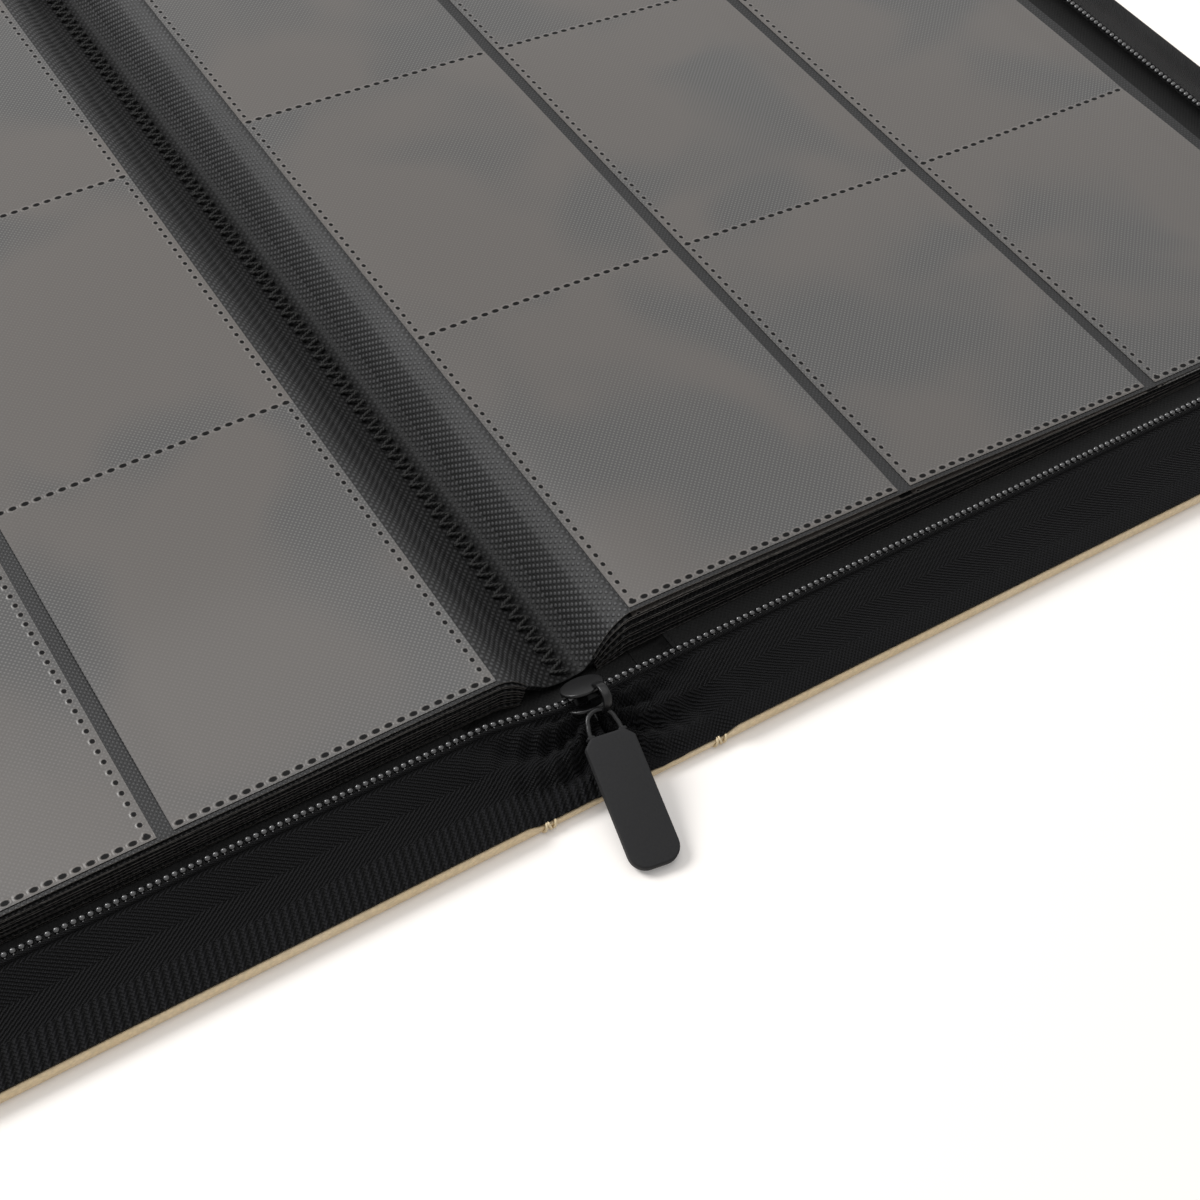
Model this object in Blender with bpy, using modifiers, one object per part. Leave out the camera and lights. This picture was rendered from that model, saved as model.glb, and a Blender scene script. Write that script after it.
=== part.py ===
# Zip-up, side-loading binder for trading cards, lying open at its centre spread.
# X runs across the two covers, Y along the spine towards the head, Z up from the table.
# The origin is on the table, under the middle of the spine. Lengths are in metres.
import math

import bmesh
import bpy
from mathutils import Matrix, Vector

MM = 0.001
SIDES = {"left": -1, "right": 1}

# Pocket pages
POCKET_COLUMNS = 3
POCKET_ROWS = 3
COLUMN_PITCH = 77.0 * MM
ROW_PITCH = 94.0 * MM
OPENING_STRIP = 3.6 * MM
PAGE_END_MARGIN = 2.0 * MM
PAGE_FORE_MARGIN = 0.8 * MM
GUTTER_MARGIN = 16.2 * MM
FILM_THICK = 0.15 * MM
FILM_GAP = 0.25 * MM
LEAF_COUNT = 10
LEAF_THICK = 0.28 * MM
CREASE_GAP = 0.25 * MM

# Covers and spine
SPINE_WIDTH = 43.0 * MM
COVER_OVERHANG = 29.0 * MM
CORNER_RADIUS = 28.0 * MM
SKIN_THICK = 0.7 * MM
BOARD_THICK = 1.7 * MM
LINING_THICK = 0.5 * MM
LAYER_GAP = 0.3 * MM
RIM_THICK = 0.8 * MM
HINGE_GAP = 0.4 * MM
HINGE_FLEX = 4.0 * MM
SPINE_RIM_HEIGHT = 2.0 * MM

# Heights of the open leaf stacks above the table, as the photograph shows them
STACK_FLOOR = 4.0 * MM
FOLD_FLOOR = 1.95 * MM
LEFT_HEIGHT = 13.0 * MM
RIGHT_CREST = 17.0 * MM
RIGHT_FORE_HEIGHT = 8.6 * MM
LEFT_ROOT = (9.4 * MM, 8.0 * MM)
RIGHT_ROOT = (6.8 * MM, 6.9 * MM)
ROOT_SPREAD = 1.8 * MM
LEFT_PIVOT_RISE = 0.6 * MM
FOLD_CLEARANCE = 0.35 * MM
VALLEY_HEIGHT = 4.0 * MM
VALLEY_LIP = 0.1 * MM
FOLD_STEP = {"left": 0.6 * MM, "right": 0.9 * MM}  # the fold stays this far under the roots
FOLD_SAG = {"left": 0.2 * MM, "right": 0.5 * MM}
LOW_RISE = (0.3 * MM, 1.1 * MM)  # the lowest leaf's way up from the fold
SHEET_EASE = (0.1 * MM, 0.2 * MM, 0.6 * MM)  # how far the left stack's top is from flat

# Overlock thread down the fold
THREAD_DIAMETER = 0.8 * MM
THREAD_WIDTH = 3.0 * MM
THREAD_PITCH = 3.5 * MM
THREAD_END = 2.0 * MM

# Zip tape, coil and slider
TAPE_THICK = 0.5 * MM
TAPE_EDGE_INSET = 0.4 * MM
TAPE_EDGE_RISE = 0.35 * MM
COIL_REACH = {"left": 22.6 * MM, "right": 19.8 * MM}
COIL_HEIGHT = 9.9 * MM
COIL_FORE_HEIGHT = {"left": 6.0 * MM, "right": COIL_HEIGHT}  # left: low enough for the leaves
COIL_FALL_START = 150.0 * MM  # where the left coil starts down from the foot run's height
COIL_WIDTH = 2.2 * MM
COIL_THICK = 1.6 * MM
COIL_TAPE_GAP = 0.4 * MM
COIL_PITCH = 1.75 * MM  # one tooth
COIL_MERGE = 2.0 * MM  # past the slider the two coils start to part
PUCKER_DIP = 1.0 * MM
PUCKER_FOLD = 0.45 * MM
STOP_WIDTH = 4.0 * MM
METAL_EDGE = 0.4 * MM
SLIDER_X = -1.0 * MM
SLIDER_WIDTH = 10.0 * MM
SLIDER_LENGTH = 9.4 * MM
SLIDER_PLATE = 1.0 * MM
SLIDER_CLEARANCE = 0.45 * MM
SLIDER_SLOT = 1.2 * MM
BAIL_WIDTH = 3.0 * MM
BAIL_HEIGHT = 3.2 * MM
BAIL_THICK = 0.9 * MM
LOOP_WIRE = 1.3 * MM
LOOP_REACH = 8.4 * MM
LOOP_TOP_WIDTH = 6.0 * MM
LOOP_END_WIDTH = 6.6 * MM
TAB_LENGTH = 30.0 * MM
TAB_WIDTH = 12.5 * MM
TAB_THICK = 2.4 * MM
TAB_SHOULDER = 2.8 * MM
TAB_END_RADIUS = 4.0 * MM
SOCKET_DEPTH = 2.2 * MM
SOCKET_CLEARANCE = 0.2 * MM
PULL_TURN = math.radians(-9.0)

# Worked out from the sizes above
FILM_WIDTH = COLUMN_PITCH - OPENING_STRIP
PAGE_HEIGHT = POCKET_ROWS * ROW_PITCH + 2 * PAGE_END_MARGIN
PAGE_FORE_EDGE = GUTTER_MARGIN + POCKET_COLUMNS * COLUMN_PITCH + PAGE_FORE_MARGIN
COVER_FORE_EDGE = PAGE_FORE_EDGE + COVER_OVERHANG
HALF_PAGE = PAGE_HEIGHT / 2
HALF_COVER = HALF_PAGE + COVER_OVERHANG
HINGE_X = SPINE_WIDTH / 2
HINGE_Z = SKIN_THICK / 2
BOARD_FLOOR = SKIN_THICK + LAYER_GAP
LINING_FLOOR = BOARD_FLOOR + BOARD_THICK + LAYER_GAP
COVER_THICK = LINING_FLOOR + LINING_THICK
TAPE_EDGE_HEIGHT = COVER_THICK + TAPE_EDGE_RISE + TAPE_THICK / 2
MARGIN_TURN = math.radians(98.5)
PAGE_TURN = math.radians(182.1)
HINGE_CLEAR = HINGE_X + SPINE_RIM_HEIGHT


def clear_scene():
    for obj in list(bpy.data.objects):
        bpy.data.objects.remove(obj)


def make_collection(name):
    collection = bpy.data.collections.new(name)
    bpy.context.scene.collection.children.link(collection)
    return collection


def make_material(name, colour, roughness, metallic=0.0):
    material = bpy.data.materials.new(name)
    material.use_nodes = True
    shader = material.node_tree.nodes["Principled BSDF"]
    shader.inputs["Base Color"].default_value = (*colour, 1.0)
    shader.inputs["Roughness"].default_value = roughness
    shader.inputs["Metallic"].default_value = metallic
    return material


def add_object(name, mesh, material):
    obj = bpy.data.objects.new(name, mesh)
    mesh.materials.clear()
    mesh.materials.append(material)
    PARTS.objects.link(obj)
    return obj


def curve_to_mesh(name, curve):
    guide = bpy.data.objects.new(name + "_guide", curve)
    PARTS.objects.link(guide)
    bpy.context.view_layer.update()
    evaluated = guide.evaluated_get(bpy.context.evaluated_depsgraph_get())
    mesh = bpy.data.meshes.new_from_object(evaluated)
    bpy.data.objects.remove(guide)
    bpy.data.curves.remove(curve)
    shape = bmesh.new()
    shape.from_mesh(mesh)
    bmesh.ops.remove_doubles(shape, verts=shape.verts, dist=0.00001)
    bmesh.ops.recalc_face_normals(shape, faces=shape.faces)
    shape.to_mesh(mesh)
    shape.free()
    return mesh


def outline_mesh(name, outline, low, high):
    """A flat outline in X and Y, solid from height low to height high."""
    curve = bpy.data.curves.new(name, "CURVE")
    curve.dimensions = "2D"
    curve.fill_mode = "BOTH"
    curve.extrude = (high - low) / 2
    spline = curve.splines.new("POLY")
    spline.points.add(len(outline) - 1)
    for point, (x, y) in zip(spline.points, outline):
        point.co = (x, y, 0, 1)
    spline.use_cyclic_u = True
    mesh = curve_to_mesh(name, curve)
    mesh.transform(Matrix.Translation((0, 0, (low + high) / 2)))
    return mesh


def wire_mesh(name, points, diameter, resolution, cyclic=False):
    curve = bpy.data.curves.new(name, "CURVE")
    curve.dimensions = "3D"
    curve.bevel_depth = diameter / 2
    curve.bevel_resolution = resolution
    curve.use_fill_caps = not cyclic
    spline = curve.splines.new("POLY")
    spline.points.add(len(points) - 1)
    for point, place in zip(spline.points, points):
        point.co = (*place, 1)
    spline.use_cyclic_u = cyclic
    return curve_to_mesh(name, curve)


def sheet_object(name, rows, thickness, material):
    """A sheet through rows of points, thickened equally to both sides."""
    width = len(rows[0])
    points = [point for row in rows for point in row]
    faces = []
    for r in range(len(rows) - 1):
        for c in range(width - 1):
            corner = r * width + c
            faces.append((corner, corner + 1, corner + width + 1, corner + width))
    mesh = bpy.data.meshes.new(name)
    mesh.from_pydata(points, [], faces)
    obj = add_object(name, mesh, material)
    shell = obj.modifiers.new("thickness", "SOLIDIFY")
    shell.thickness = thickness
    shell.offset = 0
    shell.use_even_offset = True
    return obj


def loft_mesh(name, rings):
    """A solid through rings of as many points each, closed flat at both ends."""
    size = len(rings[0])
    points = [point for ring in rings for point in ring]
    faces = [tuple(range(size)), tuple(range(len(points) - 1, len(points) - size - 1, -1))]
    for r in range(len(rings) - 1):
        for c in range(size):
            here = r * size + c
            along = r * size + (c + 1) % size
            faces.append((here, here + size, along + size, along))
    mesh = bpy.data.meshes.new(name)
    mesh.from_pydata(points, [], faces)
    shape = bmesh.new()
    shape.from_mesh(mesh)
    bmesh.ops.recalc_face_normals(shape, faces=shape.faces)
    shape.to_mesh(mesh)
    shape.free()
    return mesh


def boolean(obj, cutter, operation):
    modifier = obj.modifiers.new(operation.lower(), "BOOLEAN")
    modifier.operation = operation
    modifier.solver = "EXACT"
    modifier.object = cutter


def cutter_object(name, mesh):
    obj = bpy.data.objects.new(name, mesh)
    obj.hide_render = True
    obj.display_type = "WIRE"
    CUTTERS.objects.link(obj)
    return obj


def joint_empty(name, place):
    empty = bpy.data.objects.new(name, None)
    empty.location = place
    PARTS.objects.link(empty)
    return empty


def hang_on(empty, objects):
    bpy.context.view_layer.update()
    for obj in objects:
        obj.parent = empty
        obj.matrix_parent_inverse = empty.matrix_world.inverted()


def mirrored(points, sign):
    return [(sign * x, *rest) for x, *rest in points]


# Covers


def cover_outline(inset, inner_x, steps=6):
    """Half of the open case, from inner_x to the fore edge, its two fore corners rounded."""
    radius = CORNER_RADIUS - inset
    centre_x = COVER_FORE_EDGE - CORNER_RADIUS
    centre_y = HALF_COVER - CORNER_RADIUS
    outline = [(inner_x, -HALF_COVER + inset)]
    for sign, start in ((-1, -90), (1, 0)):
        for step in range(steps + 1):
            angle = math.radians(start + 90 * step / steps)
            outline.append(
                (centre_x + radius * math.cos(angle), sign * centre_y + radius * math.sin(angle))
            )
    outline.append((inner_x, HALF_COVER - inset))
    return outline


def build_cover(side):
    sign = SIDES[side]
    name = {"left": "front_cover", "right": "back_cover"}[side]
    rim = RIM_THICK
    skin = add_object(
        name + "_skin",
        outline_mesh(name, mirrored(cover_outline(0, HINGE_X + HINGE_GAP), sign), 0, COVER_THICK),
        LEATHERCLOTH,
    )
    tray = cutter_object(
        name + "_tray",
        outline_mesh(name, mirrored(cover_outline(rim, 0), sign), SKIN_THICK, 2 * COVER_THICK),
    )
    flex_end = HINGE_CLEAR + HINGE_GAP
    flex_box = [
        (0, -1.1 * HALF_COVER),
        (flex_end, -1.1 * HALF_COVER),
        (flex_end, 1.1 * HALF_COVER),
        (0, 1.1 * HALF_COVER),
    ]
    flex = cutter_object(
        name + "_flex", outline_mesh(name, mirrored(flex_box, sign), SKIN_THICK, 2 * COVER_THICK)
    )
    boolean(skin, tray, "DIFFERENCE")
    boolean(skin, flex, "DIFFERENCE")
    inner = cover_outline(rim + LAYER_GAP, HINGE_X + HINGE_FLEX)
    board = add_object(
        name + "_board",
        outline_mesh(name, mirrored(inner, sign), BOARD_FLOOR, BOARD_FLOOR + BOARD_THICK),
        BOARD,
    )
    lining = add_object(
        name + "_lining",
        outline_mesh(name, mirrored(inner, sign), LINING_FLOOR, COVER_THICK),
        LINING,
    )
    return [skin, board, lining]


def build_spine():
    half = HINGE_X - HINGE_GAP
    lining_half = HINGE_X - HINGE_FLEX
    outer = [(-half, -HALF_COVER), (half, -HALF_COVER), (half, HALF_COVER), (-half, HALF_COVER)]
    ends = HALF_COVER - RIM_THICK
    tray = [(-HINGE_X, -ends), (HINGE_X, -ends), (HINGE_X, ends), (-HINGE_X, ends)]
    skin = add_object("spine_skin", outline_mesh("spine", outer, 0, SPINE_RIM_HEIGHT), LEATHERCLOTH)
    boolean(
        skin,
        cutter_object("spine_tray", outline_mesh("spine", tray, SKIN_THICK, 2 * SPINE_RIM_HEIGHT)),
        "DIFFERENCE",
    )
    end = ends - LAYER_GAP
    strip = [(-lining_half, -end), (lining_half, -end), (lining_half, end), (-lining_half, end)]
    lining = add_object(
        "spine_lining", outline_mesh("spine", strip, BOARD_FLOOR, BOARD_FLOOR + LINING_THICK), LINING
    )
    return [skin, lining]


# Leaves


def stack_curves(side):
    """The lowest and highest leaf of an open stack, from the fold to the fore edge, in X and Z."""
    crease = GUTTER_MARGIN
    fore = PAGE_FORE_EDGE
    root_x, root_z = {"left": LEFT_ROOT, "right": RIGHT_ROOT}[side]
    reach = crease - root_x
    low = [
        (root_x + ROOT_SPREAD, FOLD_FLOOR),
        (root_x + 0.38 * reach, FOLD_FLOOR + LOW_RISE[0]),
        (root_x + 0.72 * reach, FOLD_FLOOR + LOW_RISE[1]),
        (crease, STACK_FLOOR - SHEET_EASE[0]),
        (0.9 * crease + 0.1 * fore, STACK_FLOOR),
        (0.67 * crease + 0.33 * fore, STACK_FLOOR),
        (0.34 * crease + 0.66 * fore, STACK_FLOOR),
        (fore, STACK_FLOOR),
    ]
    if side == "right":
        rise = RIGHT_CREST - root_z
        drop = RIGHT_CREST - RIGHT_FORE_HEIGHT
        high = [
            (root_x, root_z),
            (root_x + 0.15 * reach, root_z + 0.19 * rise),
            (root_x + 0.36 * reach, root_z + 0.66 * rise),
            (crease, RIGHT_CREST),
            (low[4][0], RIGHT_CREST - 0.08 * drop),
            (low[5][0], RIGHT_CREST - 0.36 * drop),
            (low[6][0], RIGHT_CREST - 0.84 * drop),
            (fore, RIGHT_FORE_HEIGHT),
        ]
    else:
        rise = LEFT_HEIGHT - root_z
        high = [
            (root_x, root_z),
            (root_x + 0.24 * reach, root_z + 0.36 * rise),
            (root_x + 0.51 * reach, root_z + 0.72 * rise),
            (crease, LEFT_HEIGHT - SHEET_EASE[0]),
            (low[4][0], LEFT_HEIGHT + SHEET_EASE[0]),
            (low[5][0], LEFT_HEIGHT),
            (low[6][0], LEFT_HEIGHT - SHEET_EASE[1]),
            (fore, LEFT_HEIGHT - SHEET_EASE[2]),
        ]
    return low, high


def leaf_curve(side, index):
    """The middle of leaf index, counted from 0 at the bottom of its stack."""
    low, high = stack_curves(side)
    share = index / (LEAF_COUNT - 1)
    return [
        (a[0] + share * (b[0] - a[0]), a[1] + share * (b[1] - a[1])) for a, b in zip(low, high)
    ]


def cut_curve(curve, start, end):
    """The part of a curve between two values of X."""

    def at(x):
        for (xa, za), (xb, zb) in zip(curve, curve[1:]):
            if xa <= x <= xb:
                return (x, za + (zb - za) * (x - xa) / (xb - xa))
        return (x, curve[-1][1])

    return [at(start)] + [point for point in curve if start < point[0] < end] + [at(end)]


def leaf_sheet(name, side, curve, half_length, thickness, material):
    sign = SIDES[side]
    rows = [[(sign * x, y, z) for y in (-half_length, half_length)] for x, z in curve]
    return sheet_object(name, rows, thickness, material)


def build_leaves(side):
    """The leaves of one side, without the top leaf of the right side, which turns by itself."""
    count = LEAF_COUNT if side == "left" else LEAF_COUNT - 1
    return [
        leaf_sheet(
            f"leaf_{side}_{index + 1:02d}",
            side,
            leaf_curve(side, index),
            HALF_PAGE,
            LEAF_THICK,
            POCKET_BACKING,
        )
        for index in range(count)
    ]


def build_turning_leaf():
    curve = leaf_curve("right", LEAF_COUNT - 1)
    near = cut_curve(curve, curve[0][0] + CREASE_GAP, GUTTER_MARGIN - CREASE_GAP)
    far = cut_curve(curve, GUTTER_MARGIN + CREASE_GAP, PAGE_FORE_EDGE)
    margin = leaf_sheet("leaf_right_10_margin", "right", near, HALF_PAGE, LEAF_THICK, POCKET_BACKING)
    leaf = leaf_sheet("leaf_right_10", "right", far, HALF_PAGE, LEAF_THICK, POCKET_BACKING)
    return margin, leaf


def build_films(side):
    """One clear film a column, welded along its fold side and open towards the fore edge."""
    lift = LEAF_THICK / 2 + FILM_GAP + FILM_THICK / 2
    curve = [(x, z + lift) for x, z in leaf_curve(side, LEAF_COUNT - 1)]
    films = []
    for column in range(POCKET_COLUMNS):
        start = GUTTER_MARGIN + 2 * CREASE_GAP + column * COLUMN_PITCH
        end = GUTTER_MARGIN + column * COLUMN_PITCH + FILM_WIDTH
        films.append(
            leaf_sheet(
                f"film_{side}_{column + 1}",
                side,
                cut_curve(curve, start, end),
                HALF_PAGE,
                FILM_THICK,
                FILM,
            )
        )
    return films


def build_fold():
    """The saddle-sewn middle of all the sheets, a shallow valley between the two stacks."""
    left_x, left_z = LEFT_ROOT
    right_x, right_z = RIGHT_ROOT
    gap = FOLD_CLEARANCE
    floor = FOLD_FLOOR - LEAF_THICK / 2
    half_thread = THREAD_WIDTH / 2
    profile = [
        (-left_x - ROOT_SPREAD + gap, floor),
        (right_x + ROOT_SPREAD - gap, floor),
        (right_x - gap, right_z - FOLD_STEP["right"]),
        (0.6 * right_x, 0.55 * VALLEY_HEIGHT + 0.45 * right_z - FOLD_SAG["right"]),
        (half_thread, VALLEY_HEIGHT + VALLEY_LIP),
        (0, VALLEY_HEIGHT),
        (-half_thread, VALLEY_HEIGHT + VALLEY_LIP),
        (-0.55 * left_x, 0.6 * VALLEY_HEIGHT + 0.4 * left_z - FOLD_SAG["left"]),
        (-left_x + gap, left_z - FOLD_STEP["left"]),
    ]
    mesh = outline_mesh("sewn_fold", profile, -HALF_PAGE, HALF_PAGE)
    mesh.transform(Matrix.Rotation(math.radians(90), 4, "X"))
    fold = add_object("sewn_fold", mesh, POCKET_BACKING)
    turns = int((PAGE_HEIGHT - 2 * THREAD_END) / THREAD_PITCH)
    start = -turns * THREAD_PITCH / 2
    height = VALLEY_HEIGHT + VALLEY_LIP + LAYER_GAP + THREAD_DIAMETER / 2
    half_width = THREAD_WIDTH / 2 - THREAD_DIAMETER / 2
    points = [
        (half_width * (-1) ** step, start + step * THREAD_PITCH / 2, height)
        for step in range(2 * turns + 1)
    ]
    thread = add_object(
        "fold_thread", wire_mesh("fold_thread", points, THREAD_DIAMETER, 0), THREAD
    )
    return [fold, thread]


# Zip


def edge_stations(run, steps=6):
    """Points on the cover's outer edge with their inward directions, for one run of the tape."""
    centre_x = COVER_FORE_EDGE - CORNER_RADIUS
    centre_y = HALF_COVER - CORNER_RADIUS
    if run in ("foot", "head"):
        y = -HALF_COVER if run == "foot" else HALF_COVER
        inward = (0, -math.copysign(1, y))
        end = centre_x - LAYER_GAP
        fall = [COIL_FALL_START + (end - COIL_FALL_START) * step / steps for step in range(steps + 1)]
        places = [HINGE_CLEAR, *fall]
        if run == "head":
            places.reverse()
        return [((x, y), inward) for x in places]
    stations = []
    for sign, start in ((-1, -90), (1, 0)):
        for step in range(steps + 1):
            angle = math.radians(start + 90 * step / steps)
            out = (math.cos(angle), math.sin(angle))
            place = (
                centre_x + CORNER_RADIUS * out[0],
                sign * centre_y + CORNER_RADIUS * out[1],
            )
            stations.append((place, (-out[0], -out[1])))
    return stations


def coil_height(side, station):
    """The coil is high beside the slider and comes down towards the fore edge."""
    (x, y), inward = station
    end = COVER_FORE_EDGE - CORNER_RADIUS - LAYER_GAP
    share = min(max((abs(x) - COIL_FALL_START) / (end - COIL_FALL_START), 0), 1)
    share = share * share * (3 - 2 * share)
    return COIL_HEIGHT + share * (COIL_FORE_HEIGHT[side] - COIL_HEIGHT)


def tape_height(side, station, depth):
    """Height of the tape's middle at a distance in from the cover's edge."""
    share = (depth - TAPE_EDGE_INSET) / (COIL_REACH[side] - TAPE_EDGE_INSET)
    return TAPE_EDGE_HEIGHT + share * (coil_height(side, station) - TAPE_EDGE_HEIGHT)


def tape_slope(side, height=COIL_HEIGHT):
    return math.atan2(height - TAPE_EDGE_HEIGHT, COIL_REACH[side] - TAPE_EDGE_INSET)


def inside(station, depth):
    (x, y), (nx, ny) = station
    return x + nx * depth, y + ny * depth


def build_tape(side, run):
    inner = COIL_REACH[side] - (COIL_WIDTH / 2 + COIL_TAPE_GAP) * math.cos(tape_slope(side))
    rows = []
    for station in edge_stations(run):
        row = []
        for depth in (TAPE_EDGE_INSET, inner):
            x, y = inside(station, depth)
            row.append((SIDES[side] * x, y, tape_height(side, station, depth)))
        rows.append(row)
    return sheet_object(f"tape_{side}_{run}", rows, TAPE_THICK, TAPE)


def coil_ring(side, station, reach, tooth):
    """One cross-section of the coil: full where a tooth's head is, cut back to the legs between."""
    height = coil_height(side, station)
    slope = tape_slope(side, height)
    head, crest, rise = (1, 0.35, 1) if tooth else (0, -0.4, 0.1)
    ring = []
    for along, across in ((-1, -1), (head, -1), (crest, rise)):
        u = along * COIL_WIDTH / 2
        w = across * COIL_THICK / 2
        depth = reach + u * math.cos(slope) - w * math.sin(slope)
        x, y = inside(station, depth)
        ring.append((SIDES[side] * x, y, height + u * math.sin(slope) + w * math.cos(slope)))
    return ring


def even_steps(start, end, length):
    """Whole teeth between two places, as half-pitch steps, both ends included."""
    count = 2 * max(1, round(length / COIL_PITCH))
    return [start + (end - start) * step / count for step in range(count + 1)]


def coil_stations(side):
    """Half-pitch stations on the cover's edge for the whole run of one coil."""
    centre_x = COVER_FORE_EDGE - CORNER_RADIUS
    centre_y = HALF_COVER - CORNER_RADIUS
    foot = [((x, -HALF_COVER), (0, 1)) for x in even_steps(HINGE_CLEAR, centre_x, centre_x - HINGE_CLEAR)]
    arc = []
    bend = (CORNER_RADIUS - COIL_REACH[side]) * math.pi / 2
    for angle in even_steps(-math.pi / 2, 0, bend):
        out = (math.cos(angle), math.sin(angle))
        place = (centre_x + CORNER_RADIUS * out[0], -centre_y + CORNER_RADIUS * out[1])
        arc.append((place, (-out[0], -out[1])))
    fore = [((COVER_FORE_EDGE, y), (-1, 0)) for y in even_steps(-centre_y, centre_y, 2 * centre_y)]
    near_half = foot[:-1] + arc[:-1]
    far_half = [((x, -y), (nx, -ny)) for (x, y), (nx, ny) in reversed(near_half)]
    return near_half + fore + far_half


def build_coil(side):
    rings = [
        coil_ring(side, station, COIL_REACH[side], step % 2 == 0)
        for step, station in enumerate(coil_stations(side))
    ]
    return add_object(f"coil_{side}", loft_mesh("coil", rings), COIL)


def end_reach(side, x):
    """Beside the slider both coils run on the slider's line."""
    start = SLIDER_WIDTH / 2 + COIL_MERGE
    share = min(max((abs(x) - start) / (HINGE_CLEAR - start), 0), 1)
    return COIL_REACH["right"] + share * (COIL_REACH[side] - COIL_REACH["right"])


def build_tape_end(side, end):
    """The tape between a cover and the middle of the spine, drawn down in puckers."""
    sign = SIDES[side]
    facing = -1 if end == "foot" else 1
    middle = SLIDER_X if end == "foot" else 0
    first = sign * (HINGE_CLEAR - LAYER_GAP)
    last = middle + sign * LAYER_GAP / 2
    columns = 10
    rows = []
    for column in range(columns + 1):
        x = first + (last - first) * column / columns
        reach = end_reach(side, x)
        inner = reach - (COIL_WIDTH / 2 + COIL_TAPE_GAP) * math.cos(tape_slope(side))
        near = 1 - min(abs(x - middle) / (HINGE_CLEAR - LAYER_GAP), 1)
        row = []
        for share, pucker in ((0, 0), (0.2, 0.7), (0.45, 1), (0.68, 0), (1, 0)):
            depth = TAPE_EDGE_INSET + share * (inner - TAPE_EDGE_INSET)
            straight = (depth - TAPE_EDGE_INSET) / (reach - TAPE_EDGE_INSET)
            height = TAPE_EDGE_HEIGHT + straight * (COIL_HEIGHT - TAPE_EDGE_HEIGHT)
            dip = pucker * near * PUCKER_DIP
            fold = pucker * near * PUCKER_FOLD * (-1) ** column
            row.append((x, facing * (HALF_COVER - depth), height - dip + fold))
        rows.append(row)
    tape = sheet_object(f"tape_end_{side}_{end}", rows, TAPE_THICK, TAPE)
    stop = middle + sign * (LAYER_GAP if end == "foot" else STOP_WIDTH / 2 + LAYER_GAP)
    rings = []
    for step, x in enumerate(even_steps(first, stop, abs(first - stop))):
        station = ((x * sign, facing * HALF_COVER), (0, -facing))
        rings.append(coil_ring(side, station, end_reach(side, x), step % 2 == 0))
    coil = add_object(f"coil_end_{side}_{end}", loft_mesh("coil_end", rings), COIL)
    return [tape, coil]


def build_head_stop():
    slope = tape_slope("right")
    half_x = STOP_WIDTH / 2
    mesh = bpy.data.meshes.new("head_stop")
    shape = bmesh.new()
    bmesh.ops.create_cube(shape, size=1)
    bmesh.ops.scale(shape, vec=(2 * half_x, COIL_WIDTH, 1.5 * COIL_THICK), verts=shape.verts)
    shape.to_mesh(mesh)
    shape.free()
    stop = add_object("head_stop", mesh, PAINTED_METAL)
    stop.location = (0, HALF_COVER - COIL_REACH["right"], COIL_HEIGHT)
    stop.rotation_euler = (-slope, 0, 0)
    edge = stop.modifiers.new("edge", "BEVEL")
    edge.width = METAL_EDGE
    edge.segments = 2
    return stop


def slider_matrix():
    place = Vector((SLIDER_X, -HALF_COVER + COIL_REACH["right"], COIL_HEIGHT))
    return Matrix.Translation(place) @ Matrix.Rotation(tape_slope("right"), 4, "X")


def slider_outline(steps=5):
    """Wide at the nose, where the coils come in, and narrow at the tail."""
    half = SLIDER_WIDTH / 2
    nose = 0.45 * SLIDER_LENGTH
    tail = nose - SLIDER_LENGTH
    tail_half = 0.68 * half
    outline = []
    for sign in (1, -1):
        arc = []
        for step in range(steps + 1):
            angle = math.radians(90 * step / steps)
            arc.append((sign * half * math.cos(angle), nose * math.sin(angle)))
        if sign < 0:
            arc = arc[-2::-1]
        outline += arc
    outline += [(-half, -0.15 * SLIDER_LENGTH), (-tail_half, tail), (tail_half, tail)]
    outline.append((half, -0.15 * SLIDER_LENGTH))
    return outline


def add_box(shape, low, high):
    """A box between two corners, added to a bmesh."""
    size = [b - a for a, b in zip(low, high)]
    middle = [(a + b) / 2 for a, b in zip(low, high)]
    matrix = Matrix.Translation(middle) @ Matrix.Diagonal((*size, 1))
    bmesh.ops.create_cube(shape, size=1, matrix=matrix)


def box_cutter(name, low, high):
    mesh = bpy.data.meshes.new(name)
    shape = bmesh.new()
    add_box(shape, low, high)
    shape.to_mesh(mesh)
    shape.free()
    return cutter_object(name, mesh)


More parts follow.
